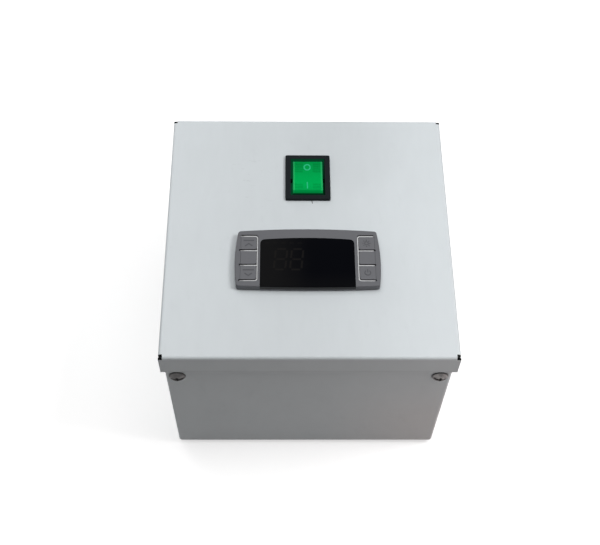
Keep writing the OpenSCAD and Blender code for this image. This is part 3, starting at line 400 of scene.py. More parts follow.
def rocker_green(name, colour):
    """Clear green plastic with painted light: a faint painted glow, brightest on its near half and its near face,
    painted highlights at its side rims, and painted shade below its top and beside it.
    """
    finish = Finish(name)
    x, y, z = finish.place(0, SWITCH_Y, PIVOT_Z)
    # painted light and shade along its length, brightest on the near half
    stops = [(0.0, times(colour, 0.85)), (0.2, times(colour, 1.02)), (0.5, times(colour, 0.95)),
             (0.75, times(colour, 0.86)), (1.0, times(colour, 0.72))]
    along = finish.ramp(y * (1 / 21.2) + 0.5, stops)
    # painted highlights on its side rims
    rim = abs(x).rise(6.9, 7.4) * 0.35
    cloud = finish.noise(5, 2)
    base = finish.mix(rim, along, linear(60, 178, 118))
    # painted shade on its lower sides, and darker still beside it
    above = z.rise(2.4, 3.4) * (1 - abs(x).rise(8.15, 8.3))
    beside = abs(x).rise(8.2, 8.5)
    base = finish.mix(above, finish.mix(beside, linear(10, 66, 42), linear(1, 22, 12)), base)
    # painted glow on its near face, and a faint painted glow everywhere
    near = (1 - y.rise(-10.1, -9.7)) * z.rise(2.9, 3.3)
    painted_glow = finish.mix(near, base, times(colour, 1.7))
    values = {"Base Color": base, "Roughness": 0.3 + cloud * 0.1, "Emission Color": painted_glow,
              "Emission Strength": 0.25, "Specular IOR Level": 0.01}
    return finish.done(values, finish.noise(0.9, 1), 0.006)


def switch_black(name, colour):
    """Black nylon with a painted green glow, a painted reflection of the rocker, low inside its opening."""
    finish = Finish(name)
    x, y, z = finish.place(0, SWITCH_Y, LID_TOP)
    # painted glow: the rocker's green inside the opening, below the frame's top and fainter at the sides
    inside = x.within(9.6, 0.5) * y.within(12.4, 0.5)
    below = (1 - z.rise(1.2, 2.0)) * (1 - abs(x).rise(9.1, 9.25) * 0.85)
    patches = finish.noise(6, 3)
    base = finish.mix(patches, times(colour, 0.85), times(colour, 1.2))
    painted_glow = finish.mix(inside * below, (0, 0, 0), linear(8, 86, 52))
    values = {"Base Color": base, "Roughness": 0.36 + patches * 0.14, "Emission Color": painted_glow,
              "Emission Strength": 0.5, "Specular IOR Level": 0.07}
    return finish.done(values, finish.noise(0.6, 2), 0.01)


def window_black(name, colour):
    """Dark glossy window, paler grey on its left and towards its near edge, through which unlit digits and symbols
    show faintly.
    """
    finish = Finish(name)
    x, y, z = finish.place(-10.5, -20, FACE)
    slanted = x - y * 0.09
    u = abs(abs(slanted) - 4.15)
    v = abs(y)
    bars = (v - 6.2).within(0.5, 0.3).most(v.within(0.5, 0.3)) * u.within(2.2, 0.3)
    posts = (u - 2.95).within(0.5, 0.3) * (v - 3.1).within(2.3, 0.3)
    symbols = (y - 10).within(0.5, 0.3) * ((x + 9) % 4.2 - 2.1).within(1.1, 0.3) * (x + 2.4).within(9.9, 0.3)
    ghost = bars.most(posts).most(symbols * 0.4) * z.rise(-0.3, -0.1)
    # paler towards the near edge and on the left
    fade = 1 - (y + 12).rise(-6, 6)
    patches = finish.noise(9, 2)
    paler_left = 1 - (x + patches * 5).rise(-9, 17)
    base = finish.mix(fade * 0.5, colour, linear(15, 15, 17))
    base = finish.mix(paler_left, base, linear(20, 20, 21))
    base = finish.mix(ghost * 0.6, base, linear(31, 29, 28))
    facing = finish.node("ShaderNodeLayerWeight", None, {"Blend": 0.5}).outputs["Facing"]
    values = {"Base Color": base, "Roughness": 0.08 + patches * 0.05, "Specular IOR Level": 0.01,
              "Coat Weight": Value(finish, facing).rise(0.15, 0.6) * 0.7, "Coat Roughness": 0.05}
    return finish.done(values, finish.noise(4, 1), 0.004)


def board(name, colour):
    """Circuit board: solder mask over copper tracks, with pads."""
    finish = Finish(name)
    x, y, _ = finish.place(0, 0, 0)
    wander = finish.noise(9, 1) * 6
    lengthwise = ((x + wander) % 2.6 - 1.3).within(0.35, 0.2)
    tracks = lengthwise.most(((y + wander) % 3.4 - 1.7).within(0.3, 0.2) * 0.8)
    pads = (x % 2.54 - 1.27).within(0.4, 0.2) * (y % 5.08 - 2.54).within(0.4, 0.2)
    base = finish.mix(tracks, colour, times(colour, 1.7))
    base = finish.mix(pads, base, linear(190, 190, 180))
    return finish.done({"Base Color": base, "Roughness": 0.35 + tracks * 0.1}, tracks, 0.03)


def winding(name, colour, pitch=0.6):
    """Turns of enamelled wire, or of tape."""
    finish = Finish(name)
    z = finish.place(0, 0, 0)[2]
    turns = (z % pitch - pitch / 2).within(pitch * 0.32, pitch * 0.2)
    base = finish.mix(turns, times(colour, 0.55), colour)
    return finish.done({"Base Color": base, "Roughness": 0.4 + turns * 0.05}, turns, 0.05)


def wires(name):
    """Insulation in the colours of the wires, told apart by where each one runs."""
    finish = Finish(name)
    earth, live, neutral = linear(150, 170, 40), linear(110, 62, 30), linear(52, 92, 150)
    stops = [(0.0, earth), (0.16, live), (0.34, neutral), (0.45, linear(170, 40, 32)), (0.6, live),
             (0.72, neutral), (0.85, linear(170, 50, 36)), (1.0, linear(90, 90, 92))]
    base = finish.ramp(finish.place(0, 0, 0)[0].rise(-62, 50), stops)
    cloud = finish.noise(3, 2)
    base = finish.mix(cloud * 0.3, base, linear(30, 28, 26))
    return finish.done({"Base Color": base, "Roughness": 0.4 + cloud * 0.15}, finish.noise(1.5, 1), 0.02)


def glass(name, colour):
    finish = Finish(name)
    paler_left = finish.noise(2, 2)
    base = finish.mix(paler_left, times(colour, 0.9), colour)
    return finish.done({"Base Color": base, "Roughness": 0.06 + paler_left * 0.05,
                        "Transmission Weight": 0.7, "IOR": 1.45})


# ---- Shaping ----

def shift(x, y, z=0):
    return Matrix.Translation((x, y, z))


def turn(angle, axis="Z"):
    return Matrix.Rotation(angle, 4, axis)


def block(low, high):
    """A box between two opposite corners."""
    low, high = Vector(list(map(min, low, high))), Vector(list(map(max, low, high)))
    bm = bmesh.new()
    bmesh.ops.create_cube(bm, size=1)
    bmesh.ops.scale(bm, vec=high - low, verts=bm.verts)
    bmesh.ops.translate(bm, vec=(low + high) / 2, verts=bm.verts)
    return bm


def bar(low, high):
    """A block whose ends are round, lying along Y."""
    bm = block(low, high)
    ends = [e for e in bm.edges if abs(e.verts[0].co.x - e.verts[1].co.x) > 1e-6]
    round_off(bm, ends, (high[2] - low[2]) * 0.499, 6)
    return bm


def round_off(bm, edges, radius, segments=3):
    """Rounds the given edges."""
    bmesh.ops.bevel(bm, geom=list(edges), offset=radius, offset_type="OFFSET", segments=segments, profile=0.5,
                    affect="EDGES", material=-1, clamp_overlap=True)


def round_corners(bm, corners, radius, segments):
    """Rounds the given corners of a flat outline."""
    bmesh.ops.bevel(bm, geom=corners, offset=radius, offset_type="OFFSET", segments=segments, profile=0.5,
                    affect="VERTICES", material=-1)


def upright(bm):
    """The edges that run along Z."""
    return [e for e in bm.edges if (e.verts[0].co.xy - e.verts[1].co.xy).length < 1e-6]


def level(bm, height):
    """The edges that lie at the given height."""
    return [e for e in bm.edges if all(abs(v.co.z - height) < 1e-5 for v in e.verts)]


def outward(bm):
    bmesh.ops.recalc_face_normals(bm, faces=bm.faces)
    return bm


def drawn_out(bm, faces, way):
    """Extrudes faces along a vector."""
    made = bmesh.ops.extrude_face_region(bm, geom=faces)
    bmesh.ops.translate(bm, vec=way, verts=[g for g in made["geom"] if isinstance(g, bmesh.types.BMVert)])


def spun(bm, points, closed, **spin):
    """Spins a chain of points of radius and height round Z."""
    chain = [bm.verts.new((r, 0, z)) for r, z in points]
    pairs = zip(chain, chain[1:] + chain[:1] if closed else chain[1:])
    edges = [bm.edges.new(pair) for pair in pairs]
    bmesh.ops.spin(bm, geom=chain + edges, cent=(0, 0, 0), axis=(0, 0, 1), **spin)


def turned(profile, steps=48):
    """A solid turned round Z from points of radius and height."""
    bm = bmesh.new()
    spun(bm, profile, False, angle=2 * pi, steps=steps, use_merge=True)
    bmesh.ops.remove_doubles(bm, verts=bm.verts, dist=1e-5)
    return outward(bm)


def rod(radius, low, high, steps=48):
    """A cylinder along Z."""
    return turned([(0, low), (radius, low), (radius, high), (0, high)], steps)


def ring(inner, outer, low, high, steps=64):
    """A flat ring round Z."""
    return turned([(inner, low), (outer, low), (outer, high), (inner, high), (inner, low)], steps)


def arc(inner, outer, low, high, start, angle):
    """A part of a flat ring, from an angle on."""
    bm = bmesh.new()
    spun(bm, [(inner, low), (outer, low), (outer, high), (inner, high)], True, angle=angle, steps=20)
    bmesh.ops.holes_fill(bm, edges=bm.edges, sides=4)
    bmesh.ops.rotate(bm, cent=(0, 0, 0), matrix=Matrix.Rotation(start, 3, "Z"), verts=bm.verts)
    return outward(bm)


def placed(bm, *matrices):
    """A copy of the shape, moved by the matrices in turn."""
    copy = bm.copy()
    for matrix in matrices:
        bmesh.ops.transform(copy, matrix=matrix, verts=copy.verts)
    return copy


def joined(parts):
    """All the given shapes as one."""
    whole = bmesh.new()
    for part in parts:
        mesh = bpy.data.meshes.new("part")
        part.to_mesh(mesh)
        whole.from_mesh(mesh)
        bpy.data.meshes.remove(mesh)
    return whole


def scratch(bm):
    """An object that holds a shape for a while."""
    mesh = bpy.data.meshes.new("scratch")
    bm.to_mesh(mesh)
    obj = bpy.data.objects.new("scratch", mesh)
    bpy.context.scene.collection.objects.link(obj)
    return obj


def carve(bm, cutters, operation="DIFFERENCE"):
    """The shape with each cutter taken from it, or added to it, or kept where they meet."""
    body = scratch(bm)
    tools = [scratch(cutter) for cutter in cutters]
    for tool in tools:
        cut = body.modifiers.new("cut", "BOOLEAN")
        cut.operation = operation
        cut.solver = "EXACT"
        cut.object = tool
    bpy.context.view_layer.update()
    mesh = bpy.data.meshes.new_from_object(body.evaluated_get(bpy.context.evaluated_depsgraph_get()))
    result = bmesh.new()
    result.from_mesh(mesh)
    bpy.data.meshes.remove(mesh)
    for obj in [body, *tools]:
        data = obj.data
        bpy.data.objects.remove(obj)
        bpy.data.meshes.remove(data)
    if not result.faces:
        raise RuntimeError("nothing is left after cutting")
    bmesh.ops.remove_doubles(result, verts=result.verts, dist=1e-4)
    return result


def bow(bm, start, end, height, cuts):
    """Bows the straight edge between two corners of a flat outline away from the middle."""
    start, end = Vector(start), Vector(end)
    edge = next(e for e in bm.edges
                if {(v.co - start).length < 1e-4 or (v.co - end).length < 1e-4 for v in e.verts} == {True})
    bmesh.ops.subdivide_edges(bm, edges=[edge], cuts=cuts)
    way = end - start
    out = Vector((way.y, -way.x, 0)).normalized()
    for vert in bm.verts:
        t = (vert.co - start).dot(way) / way.length_squared
        if 0 < t < 1 and abs((vert.co - start).dot(out)) < 1e-4:
            vert.co += out * 4 * height * t * (1 - t)


def raised(bm, low, high):
    """Lifts a flat outline into a plate."""
    bmesh.ops.translate(bm, vec=(0, 0, low), verts=bm.verts)
    drawn_out(bm, bm.faces[:], (0, 0, high - low))
    return outward(bm)


def rounded_plate(centre, width, depth, radius, low, high, segments=6):
    """A plate with round corners."""
    x, y = centre
    bm = block((x - width / 2, y - depth / 2, low), (x + width / 2, y + depth / 2, high))
    round_off(bm, upright(bm), radius, segments)
    return bm


def piece(name, bm, finishes, nodes=(), body=None, edge=0.15, segments=2, angle=35):
    """Puts a finished shape in the scene, in place of the solids that it stands for."""
    bmesh.ops.scale(bm, vec=(MM, MM, MM), verts=bm.verts)
    for face in bm.faces:
        face.smooth = True
    mesh = bpy.data.meshes.new(name)
    bm.to_mesh(mesh)
    bm.free()
    for finish in finishes if isinstance(finishes, list) else [finishes]:
        mesh.materials.append(finish)
    obj = bpy.data.objects.new(name, mesh)
    bpy.context.scene.collection.objects.link(obj)
    soft = obj.modifiers.new("soft edges", "BEVEL")
    soft.width = edge * MM
    soft.segments = segments
    soft.limit_method = "ANGLE"
    soft.angle_limit = radians(angle)
    soft.use_clamp_overlap = True
    mesh.set_sharp_from_angle(angle=radians(angle))
    shading = obj.modifiers.new("even shading", "WEIGHTED_NORMAL")
    shading.weight = 80
    shading.keep_sharp = False
    if nodes:
        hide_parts(*nodes)
    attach(obj, body or NODES[nodes[0]]["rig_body"])


def softened(name, node, finish, edge=0.3):
    """A copy of a solid with its sharp edges rounded."""
    bm = bmesh.new()
    bm.from_mesh(NODES[node].data)
    bmesh.ops.scale(bm, vec=(1 / MM,) * 3, verts=bm.verts)
    bmesh.ops.remove_doubles(bm, verts=bm.verts, dist=1e-3)
    bmesh.ops.dissolve_limit(bm, angle_limit=radians(0.6), verts=bm.verts, edges=bm.edges)
    piece(name, bm, finish, [node], edge=edge)


def on_front(x, z, y):
    return shift(x, y, z) @ turn(pi / 2, "X")


def on_back(x, z, y):
    return shift(x, y, z) @ turn(-pi / 2, "X")


def on_left(y, z, x):
    return shift(x, y, z) @ turn(-pi / 2, "Y")


def on_right(y, z, x):
    return shift(x, y, z) @ turn(pi / 2, "Y")


def pan_screw(shank, length, width=8.6, height=2.5):
    """A pan-head screw with a slot and a short cross, its seat at height 0."""
    r = width / 2
    cap = (r * r + height * height) / (2 * height) + 0.4
    middle = height - cap
    dome = [(r * (1 - i / 8), middle + sqrt(cap * cap - (r * (1 - i / 8)) ** 2)) for i in range(9)]
    profile = [(0, -length), (shank - 0.4, -length), (shank, -length + 0.4), (shank, 0), (r, 0), *dome]
    slot = block((-width, -0.75, height - 1.5), (width, 0.75, height + 1))
    cross = block((-0.6, -width / 5, height - 1.7), (0.6, width / 5, height + 1))
    return carve(turned(profile), [slot, cross])


# ---- Settings ----

def millimetres(name, description, default, low, high):
    return FloatProperty(name=name, description=description, default=default * MM,
                         min=low * MM, max=high * MM, unit="LENGTH")


def tint(name, description, *colour):
    return FloatVectorProperty(name=name, description=description, default=linear(*colour),
                               min=0, max=1, subtype="COLOR")


def power(name, description, default):
    return FloatProperty(name=name, description=description, default=default, min=0, max=20, unit="POWER")


def settings_of(kind, name, description):
    return PointerProperty(type=kind, name=name, description=description)


class DryerBoxSettings(bpy.types.PropertyGroup):
    """The folded steel box."""
    bend: millimetres("Bend Radius", "Outer radius of the bends in the sheet", 1.6, 1.2, 2)
    edge: millimetres("Edge Rounding", "Rounding that the coat gives to cut edges", 0.25, 0.05, 0.4)
    coat: tint("Coat", "Colour of the powder coat", 213, 219, 222)
    feet: tint("Feet", "Colour of the rubber feet", 28, 28, 29)


class DryerSwitchSettings(bpy.types.PropertyGroup):
    """The rocker switch."""
    # the rocker's colour, to which its material adds a painted glow
    rocker: tint("Rocker", "Colour of the lit rocker", 0, 156, 74)
    mark: tint("Marks", "Colour of the circle and the bar on the rocker", 46, 192, 136)
    frame: tint("Frame", "Colour of the switch's frame", 18, 23, 26)
    grooves: IntProperty(name="Grooves", description="Finger grooves in the far half of the rocker", default=6,
                         min=0, max=7, subtype="UNSIGNED")


class DryerControllerSettings(bpy.types.PropertyGroup):
    """The temperature controller."""
    bezel: tint("Bezel", "Colour of the bezel", 102, 103, 107)
    keys: tint("Keys", "Colour of the keys", 104, 105, 109)
    rubber: tint("Rubber", "Colour of the rubber round the keys", 208, 209, 210)
    window: tint("Window", "Colour of the display window", 2, 3, 8)


class DryerStageSettings(bpy.types.PropertyGroup):
    """The floor, the lamps and the camera."""
    lens: FloatProperty(name="Focal Length", description="Focal length of the camera", default=63.43,
                        min=20, max=200, subtype="DISTANCE_CAMERA")
    key: power("Key Lamp", "Power of the soft lamp on the right", 2.3)
    top: power("Top Lamp", "Power of the large lamp above", 2.52)
    side: power("Side Lamp", "Power of the low warm lamp on the right", 0.1)
    back: power("Back Lamp", "Power of the soft lamp behind", 0.55)
    ambient: FloatProperty(name="Ambient", description="Strength of the light from all round", default=0.13,
                           min=0, max=1, subtype="FACTOR")


class DryerSettings(bpy.types.PropertyGroup):
    """Everything that can be set."""
    box: settings_of(DryerBoxSettings, "Box", "The steel box")
    switch: settings_of(DryerSwitchSettings, "Switch", "The rocker switch")
    controller: settings_of(DryerControllerSettings, "Controller", "The controller")
    stage: settings_of(DryerStageSettings, "Stage", "Floor, lamps and camera")


def settings():
    return bpy.context.scene.dryer


# ---- Operators ----

class Step:
    """What every operator shares."""
    bl_options = {"REGISTER", "UNDO"}


class DRYER_OT_stage(Step, bpy.types.Operator):
    """Set up the camera, the pale floor and the soft lamps"""
    bl_idname = "dryer.stage"
    bl_label = "Set Up Stage"

    place = Vector((-13.437, -307.658, 580.247))
    turned_left, turned_down, rolled = radians(-1.795), radians(58.858), radians(1.66)

    def execute(self, context):
        given = settings().stage
        self.camera(context, given.lens)
        self.floor(context)
        self.world(context, given.ambient)
        self.lamp(context, "key_lamp", given.key, 240, (425, -58, 690), (0, 0, 60))
        self.lamp(context, "top_lamp", given.top, 700, (-60, 140, 820), (0, 0, 60))
        self.lamp(context, "back_lamp", given.back, 300, (-330, 380, 190), (-60, 60, 40))
        self.lamp(context, "side_lamp", given.side, 120, (240, -190, 130), (40, -70, 60), (1, 0.85, 0.82))
        context.scene.view_settings.view_transform = "Standard"
        return {"FINISHED"}

    @staticmethod
    def added(context, name, data):
        obj = bpy.data.objects.new(name, data)
        context.scene.collection.objects.link(obj)
        return obj

    def camera(self, context, lens):
        data = bpy.data.cameras.new("camera")
        data.sensor_width = 36
        data.lens = lens
        data.clip_start = 0.01
        obj = self.added(context, "camera", data)
        left, down, roll = self.turned_left, self.turned_down, self.rolled
        ahead = Vector((-sin(left) * cos(down), cos(left) * cos(down), -sin(down)))
        right = ahead.cross(Vector((0, 0, 1))).normalized()
        up = right.cross(ahead)
        across = right * cos(roll) + up * sin(roll)
        above = up * cos(roll) - right * sin(roll)
        axes = Matrix((across, above, -ahead)).transposed()
        obj.matrix_world = Matrix.Translation(self.place * MM) @ axes.to_4x4()
        context.scene.camera = obj

    def floor(self, context):
        bm = bmesh.new()
        bmesh.ops.create_grid(bm, x_segments=2, y_segments=2, size=3.0)
        mesh = bpy.data.meshes.new("floor")
        bm.to_mesh(mesh)
        bm.free()
        finish = Finish("pale_floor")
        seen = self.seen(finish)
        colour = finish.mix(seen, (0.2, 0.2, 0.2), (0.86, 0.86, 0.86))
        matt = finish.node("ShaderNodeBsdfDiffuse", None, {"Color": colour})
        x, y, _ = finish.place(0, 0, 0)
        far = (x * x + y * y).rise(300 ** 2, 800 ** 2)
        light = finish.node("ShaderNodeEmission", None,
                            {"Color": (1, 1, 1, 1), "Strength": seen * (0.55 + far * 0.45)})
        both = finish.node("ShaderNodeAddShader", None, {0: matt.outputs[0], 1: light.outputs[0]})
        finish.node("ShaderNodeOutputMaterial", None, {"Surface": both.outputs[0]})
        mesh.materials.append(finish.owner)
        obj = self.added(context, "floor", mesh)

    @staticmethod
    def seen(finish):
        """1 for rays from the camera, straight or by way of a mirror or glass."""
        path = finish.node("ShaderNodeLightPath")
        straight, mirrored, through = [Value(finish, path.outputs[f"Is {kind} Ray"])
                                       for kind in ("Camera", "Glossy", "Transmission")]
        return straight.most(mirrored).most(through)

    def world(self, context, ambient):
        finish = Finish("studio", bpy.data.worlds.new("studio"))
        context.scene.world = finish.owner
        strength = self.seen(finish) * (1 - ambient) + ambient
        light = finish.node("ShaderNodeBackground", None, {"Color": (1, 1, 1, 1), "Strength": strength})
        finish.node("ShaderNodeOutputWorld", None, {"Surface": light.outputs[0]})

    def lamp(self, context, name, watts, size, place, target, colour=(1, 1, 1)):
        data = bpy.data.lights.new(name, "AREA")
        data.color = colour
        data.energy = watts
        data.size = size * MM
        obj = self.added(context, name, data)
        place, target = Vector(place) * MM, Vector(target) * MM
        obj.location = place
        obj.rotation_euler = (target - place).to_track_quat("-Z", "Y").to_euler()


class DRYER_OT_tray(Step, bpy.types.Operator):
    """Fold the tray, with its air intake, warm-air slots and inlet opening"""
    bl_idname = "dryer.tray"
    bl_label = "Fold Tray"

    def execute(self, context):
        given = settings().box
        bend = given.bend / MM
        form = block(TRAY_LOW, TRAY_HIGH)
        round_off(form, upright(form) + level(form, TRAY_LOW.z), bend, 5)
        inside = HALF_TRAY - SHEET
        hollow = block((-inside, -inside, TRAY_LOW.z + SHEET), (inside, inside, LID_TOP + 5))
        lower = [e for e in hollow.edges if min(v.co.z for v in e.verts) < LID_TOP]
        corners = upright(hollow)
        round_off(hollow, [e for e in lower if max(v.co.z for v in e.verts) < LID_TOP or e in corners],
                  max(0.1, bend - SHEET), 3)
        wall = HALF_TRAY - SHEET / 2
        wide, narrow = rod(2.25, -3, 3, 32), rod(1.7, -3, 3, 32)
        bores = [placed(wide, on_front(x, LID_SCREW_Z, side * wall)) for x, side in LID_SCREWS]
        bores += [placed(wide, on_left(FAN.y + y, FAN.z + z, -wall)) for y, z in FAN_SCREWS]
        bores += [placed(wide, on_right(y, z, wall)) for y, z in DUCT_SCREWS]
        bores += [placed(narrow, on_back(INLET_X + x, INLET_Z, wall)) for x in (-20, 20)]
        opening = block((INLET_X - 14.2, wall - 3, INLET_Z - 12.7), (INLET_X + 14.2, wall + 3, INLET_Z + 12.7))
        cutters = [hollow, joined(bores), opening, self.intake(-wall), joined(self.outlet(wall))]
        finish = powder_coat("coat_tray", given.coat, tray_shade_and_light)
        piece("tray_shell", carve(form, cutters), finish, ["base_tray"], edge=given.edge / MM)
        return {"FINISHED"}

    @staticmethod
    def intake(wall):
        """Ring slots, cut short by four spokes."""
        spokes = [placed(block((-35, -1.75, -5), (35, 1.75, 5)), turn(angle)) for angle in (pi / 4, 3 * pi / 4)]
        rings = joined([ring(r - 1.6, r + 1.6, -2, 2) for r in (6, 12, 18, 24)])
        return placed(carve(rings, spokes), on_left(FAN.y, FAN.z, wall))

    @staticmethod
    def outlet(wall):
        """Round-ended slots, one above another."""
        slot = bar((-3, -24, -1.7), (3, 24, 1.7))
        return [placed(slot, shift(wall, FAN.y, FAN.z + (i - 3.5) * 6.2)) for i in range(8)]


class DRYER_OT_lid(Step, bpy.types.Operator):
    """Fold the lid, with its two cut-outs and its corner reliefs"""
    bl_idname = "dryer.lid"
    bl_label = "Fold Lid"

    def execute(self, context):
        given = settings().box
        bend = given.bend / MM
        form = block(LID_LOW, LID_HIGH)
        round_off(form, level(form, LID_TOP), bend, 6)
        inside = HALF_LID - SHEET
        low = LID_LOW.z - 1
        hollow = block((-inside, -inside, low), (inside, inside, LID_TOP - SHEET))
        round_off(hollow, level(hollow, LID_TOP - SHEET), max(0.1, bend - SHEET), 3)
        past = HALF_LID + 1
        slit = HALF_LID - RELIEF.y
        notch = block((HALF_LID - RELIEF.x, slit, LID_TOP - RELIEF.z), (past, past, LID_TOP + 1))
        cut = block((inside - 1, slit, low), (past, inside, LID_TOP - RELIEF.z + 0.2))
        flips = [Matrix.Diagonal((x, y, 1, 1)) for x in (-1, 1) for y in (-1, 1)]
        corners = [joined([outward(placed(shape, flip)) for flip in flips]) for shape in (notch, cut)]
        panel = self.opening(PANEL.x, HOUSING_Y, 35.5, 14.5)
        switch = self.opening(0, SWITCH_Y, 11, 13.8)
        finish = powder_coat("coat_lid", given.coat, lid_wear_and_shade)
        piece("lid_shell", carve(form, [hollow, *corners, joined([panel, switch])]), finish,
              ["lid"], edge=given.edge / MM)
        return {"FINISHED"}

    @staticmethod
    def opening(x, y, half_width, half_depth):
        return block((x - half_width, y - half_depth, LID_TOP - 4), (x + half_width, y + half_depth, LID_TOP + 2))


class DRYER_OT_fasteners(Step, bpy.types.Operator):
    """Drive the screws and stand the box on its rubber feet"""
    bl_idname = "dryer.fasteners"
    bl_label = "Fit Screws and Feet"

    def execute(self, context):
        zinc = tarnished_and_shaded("zinc_screw_heads", linear(122, 119, 118))
        on_lid = [(on_front if side < 0 else on_back)(x, LID_SCREW_Z, side * HALF_TRAY) @ turn(radians(angle))
                  for (x, side), angle in zip(LID_SCREWS, (4, -5, 20, 65))]
        on_fan = [on_left(FAN.y + y, FAN.z + z, -HALF_TRAY) for y, z in FAN_SCREWS]
        on_duct = [on_right(y, z, HALF_TRAY) for y, z in DUCT_SCREWS]
        for name, length, places in (("lid", 9, on_lid), ("fan", 30.4, on_fan), ("duct", 7, on_duct)):
            screw = pan_screw(2, length)
            piece(f"{name}_screw_set", joined([placed(screw, place) for place in places]), zinc,
                  [f"{name}_screws"], edge=0.12)
        rubber = moulded("foot_rubber", settings().box.feet, 0.75, depth=0.03, specular=0.3)
        bead = [(5 + cos(radians(a)), 1 + sin(radians(a))) for a in range(-90, 1, 15)]
        foot = turned([(0, 0.25), (2.2, 0.25), (2.6, 0), *bead, (6, 3), (0, 3)])
        feet = [placed(foot, shift(x, y)) for x in (-58, 58) for y in (-58, 58)]
        piece("foot_set", joined(feet), rubber, ["rubber_feet"])
        return {"FINISHED"}


class DRYER_OT_switch(Step, bpy.types.Operator):
    """Model the rocker switch with its finger grooves and marks"""
    bl_idname = "dryer.switch"
    bl_label = "Fit Switch"

    def execute(self, context):
        given = settings().switch
        black = switch_black("switch_nylon", given.frame)
        piece("switch_frame", self.housing(), black, ["switch_housing"], edge=0.12)
        # the second, darker copy of the green is painted shade for the ridges
        green = [rocker_green("rocker_glow_green", given.rocker),
                 rocker_green("rocker_ridge_shade_green", times(given.rocker, 0.78))]
        piece("rocker_cap", self.rocker(given.grooves), green, ["switch_rocker"], edge=0.08, angle=25)
        pale = moulded("rocker_mark_green", given.mark, 0.4, depth=0.004, specular=0.05)
        piece("rocker_marks", self.marks(), pale, body="rocker", edge=0.04)
        return {"FINISHED"}

    @staticmethod
    def housing():
        """A frame on the lid, a body under it, and the well that the rocker moves in."""
        y = SWITCH_Y
        frame_plate = rounded_plate((0, y), 24.4, 29.6, 0.8, LID_TOP, LID_TOP + 1.8, 4)
        round_off(frame_plate, level(frame_plate, LID_TOP + 1.8), 0.5, 3)
        body = block((-10.9, y - 13.7, LID_TOP - 21), (10.9, y + 13.7, LID_TOP + 0.5))
        ears = [block((-4, y + side * 13.8 - 0.6, LID_TOP - 5.2), (4, y + side * 13.8 + 0.6, LID_TOP - 1.5))
                for side in (-1, 1)]
        whole = carve(frame_plate, [body, *ears], "UNION")
        well = block((-9.3, y - 12.1, LID_TOP - 19), (9.3, y + 12.1, LID_TOP + 5))
        slots = joined([block((x - 3.2, y + dy - 0.45, LID_TOP - 23), (x + 3.2, y + dy + 0.45, LID_TOP - 18))
                        for x in (-4.2, 4.2) for dy in (0, 7)])
        bore = placed(rod(1.25, -14, 14, 32), shift(0, y, PIVOT_Z) @ turn(pi / 2, "Y"))
        return carve(whole, [well, slots, bore])

    @staticmethod
    def tilted(bm):
        """The shape, drawn level with its hinge at the origin, put in its resting tilt."""
        return placed(bm, shift(0, SWITCH_Y, PIVOT_Z) @ turn(-ROCKER_TILT, "X"))

    def rocker(self, count):
        """A hollow bent block with round rims, grooves, two pins and a socket for its plunger."""
        hx, hy = HALF_ROCKER.xy
        top = ROCKER_RISE + hy * tan(ROCKER_SLOPE)
        bm = bmesh.new()
        side = [(-hy, 0), (-hy / 2, -2.2), (hy / 2, -2.2), (hy, 0), (hy, top), (0, ROCKER_RISE), (-hy, top)]
        drawn_out(bm, [bm.faces.new([bm.verts.new((-hx, y, z)) for y, z in side])], (2 * hx, 0, 0))
        outward(bm)
        rims = [e for e in bm.edges if self.along_side(e) or self.across_end(e)]
        round_off(bm, rims, 0.6, 3)
        self.grooves(bm, count)
        wall = 1.4
        hollow = block((wall - hx, wall - hy, -5), (hx - wall, hy - wall, ROCKER_RISE - wall))
        pins = [placed(rod(1.2, 7.1, 10.2, 32), turn(angle, "Y")) for angle in (pi / 2, -pi / 2)]
        socket = ring(1.05, 2.2, -4, ROCKER_RISE - 1.2, 32)
        return self.tilted(carve(carve(bm, [hollow]), [*pins, socket], "UNION"))

    @staticmethod
    def along_side(edge):
        """Whether an edge touches a side of the rocker, above its skirt."""
        return (any(abs(abs(v.co.x) - HALF_ROCKER.x) < 1e-5 for v in edge.verts)
                and min(v.co.z for v in edge.verts) > 0.1)

    @staticmethod
    def across_end(edge):
        """Whether an edge is the upper one of an end."""
        return all(abs(abs(v.co.y) - HALF_ROCKER.y) < 1e-5 and v.co.z > 1 for v in edge.verts)

    @staticmethod
    def grooves(bm, count):
        """Sinks thin grooves in both halves, with painted shade on the ridges between them, clear of marks and
        rims.
        """
        pitch, width, depth = 1.25, 0.62, 0.16
        inner, outer = 2.7, 7.2
        rows = [9.15 - i * pitch for i in range(count)] + [-9.35 + i * pitch for i in range(4)]
        cuts = [((x, 0, 0), (1, 0, 0)) for x in (-outer, -inner, inner, outer)]
        cuts += [((0, y + s * width / 2, 0), (0, 1, 0)) for y in rows for s in (-1, 1)]
        for point, normal in cuts:
            bmesh.ops.bisect_plane(bm, geom=bm.verts[:] + bm.edges[:] + bm.faces[:], dist=1e-5,
                                   plane_co=point, plane_no=normal)
        for face in bm.faces[:]:
            centre = face.calc_center_median()
            if face.normal.z < 0.9 or not inner < abs(centre.x) < outer:
                continue
            # the ridges take the darker copy of the green: painted shade
            if rows[count - 1] < centre.y < rows[0] or rows[count] < centre.y < rows[-1]:
                face.material_index = 1
            if any(abs(centre.y - y) < 0.2 for y in rows):
                face.material_index = 0
                drawn_out(bm, [face], face.normal * -depth)
                bmesh.ops.delete(bm, geom=[face], context="FACES")

    def marks(self):
        """A circle on the far half and a bar on the near half, proud of the plastic."""
        low, high = -0.1, 0.12
        circle = placed(ring(1.3, 1.98, low, high, 40), Matrix.Diagonal((1, 1.1, 1, 1)))
        line = block((-0.34, -2.6, low), (0.34, 2.6, high))
        parts = []
        for y, shape, angle in ((6.3, circle, ROCKER_SLOPE), (-6.9, line, -ROCKER_SLOPE)):
            height = ROCKER_RISE + abs(y) * tan(ROCKER_SLOPE)
            parts.append(placed(shape, shift(-0.3, 0), turn(angle, "X"), shift(0, y, height)))
        return self.tilted(joined(parts))


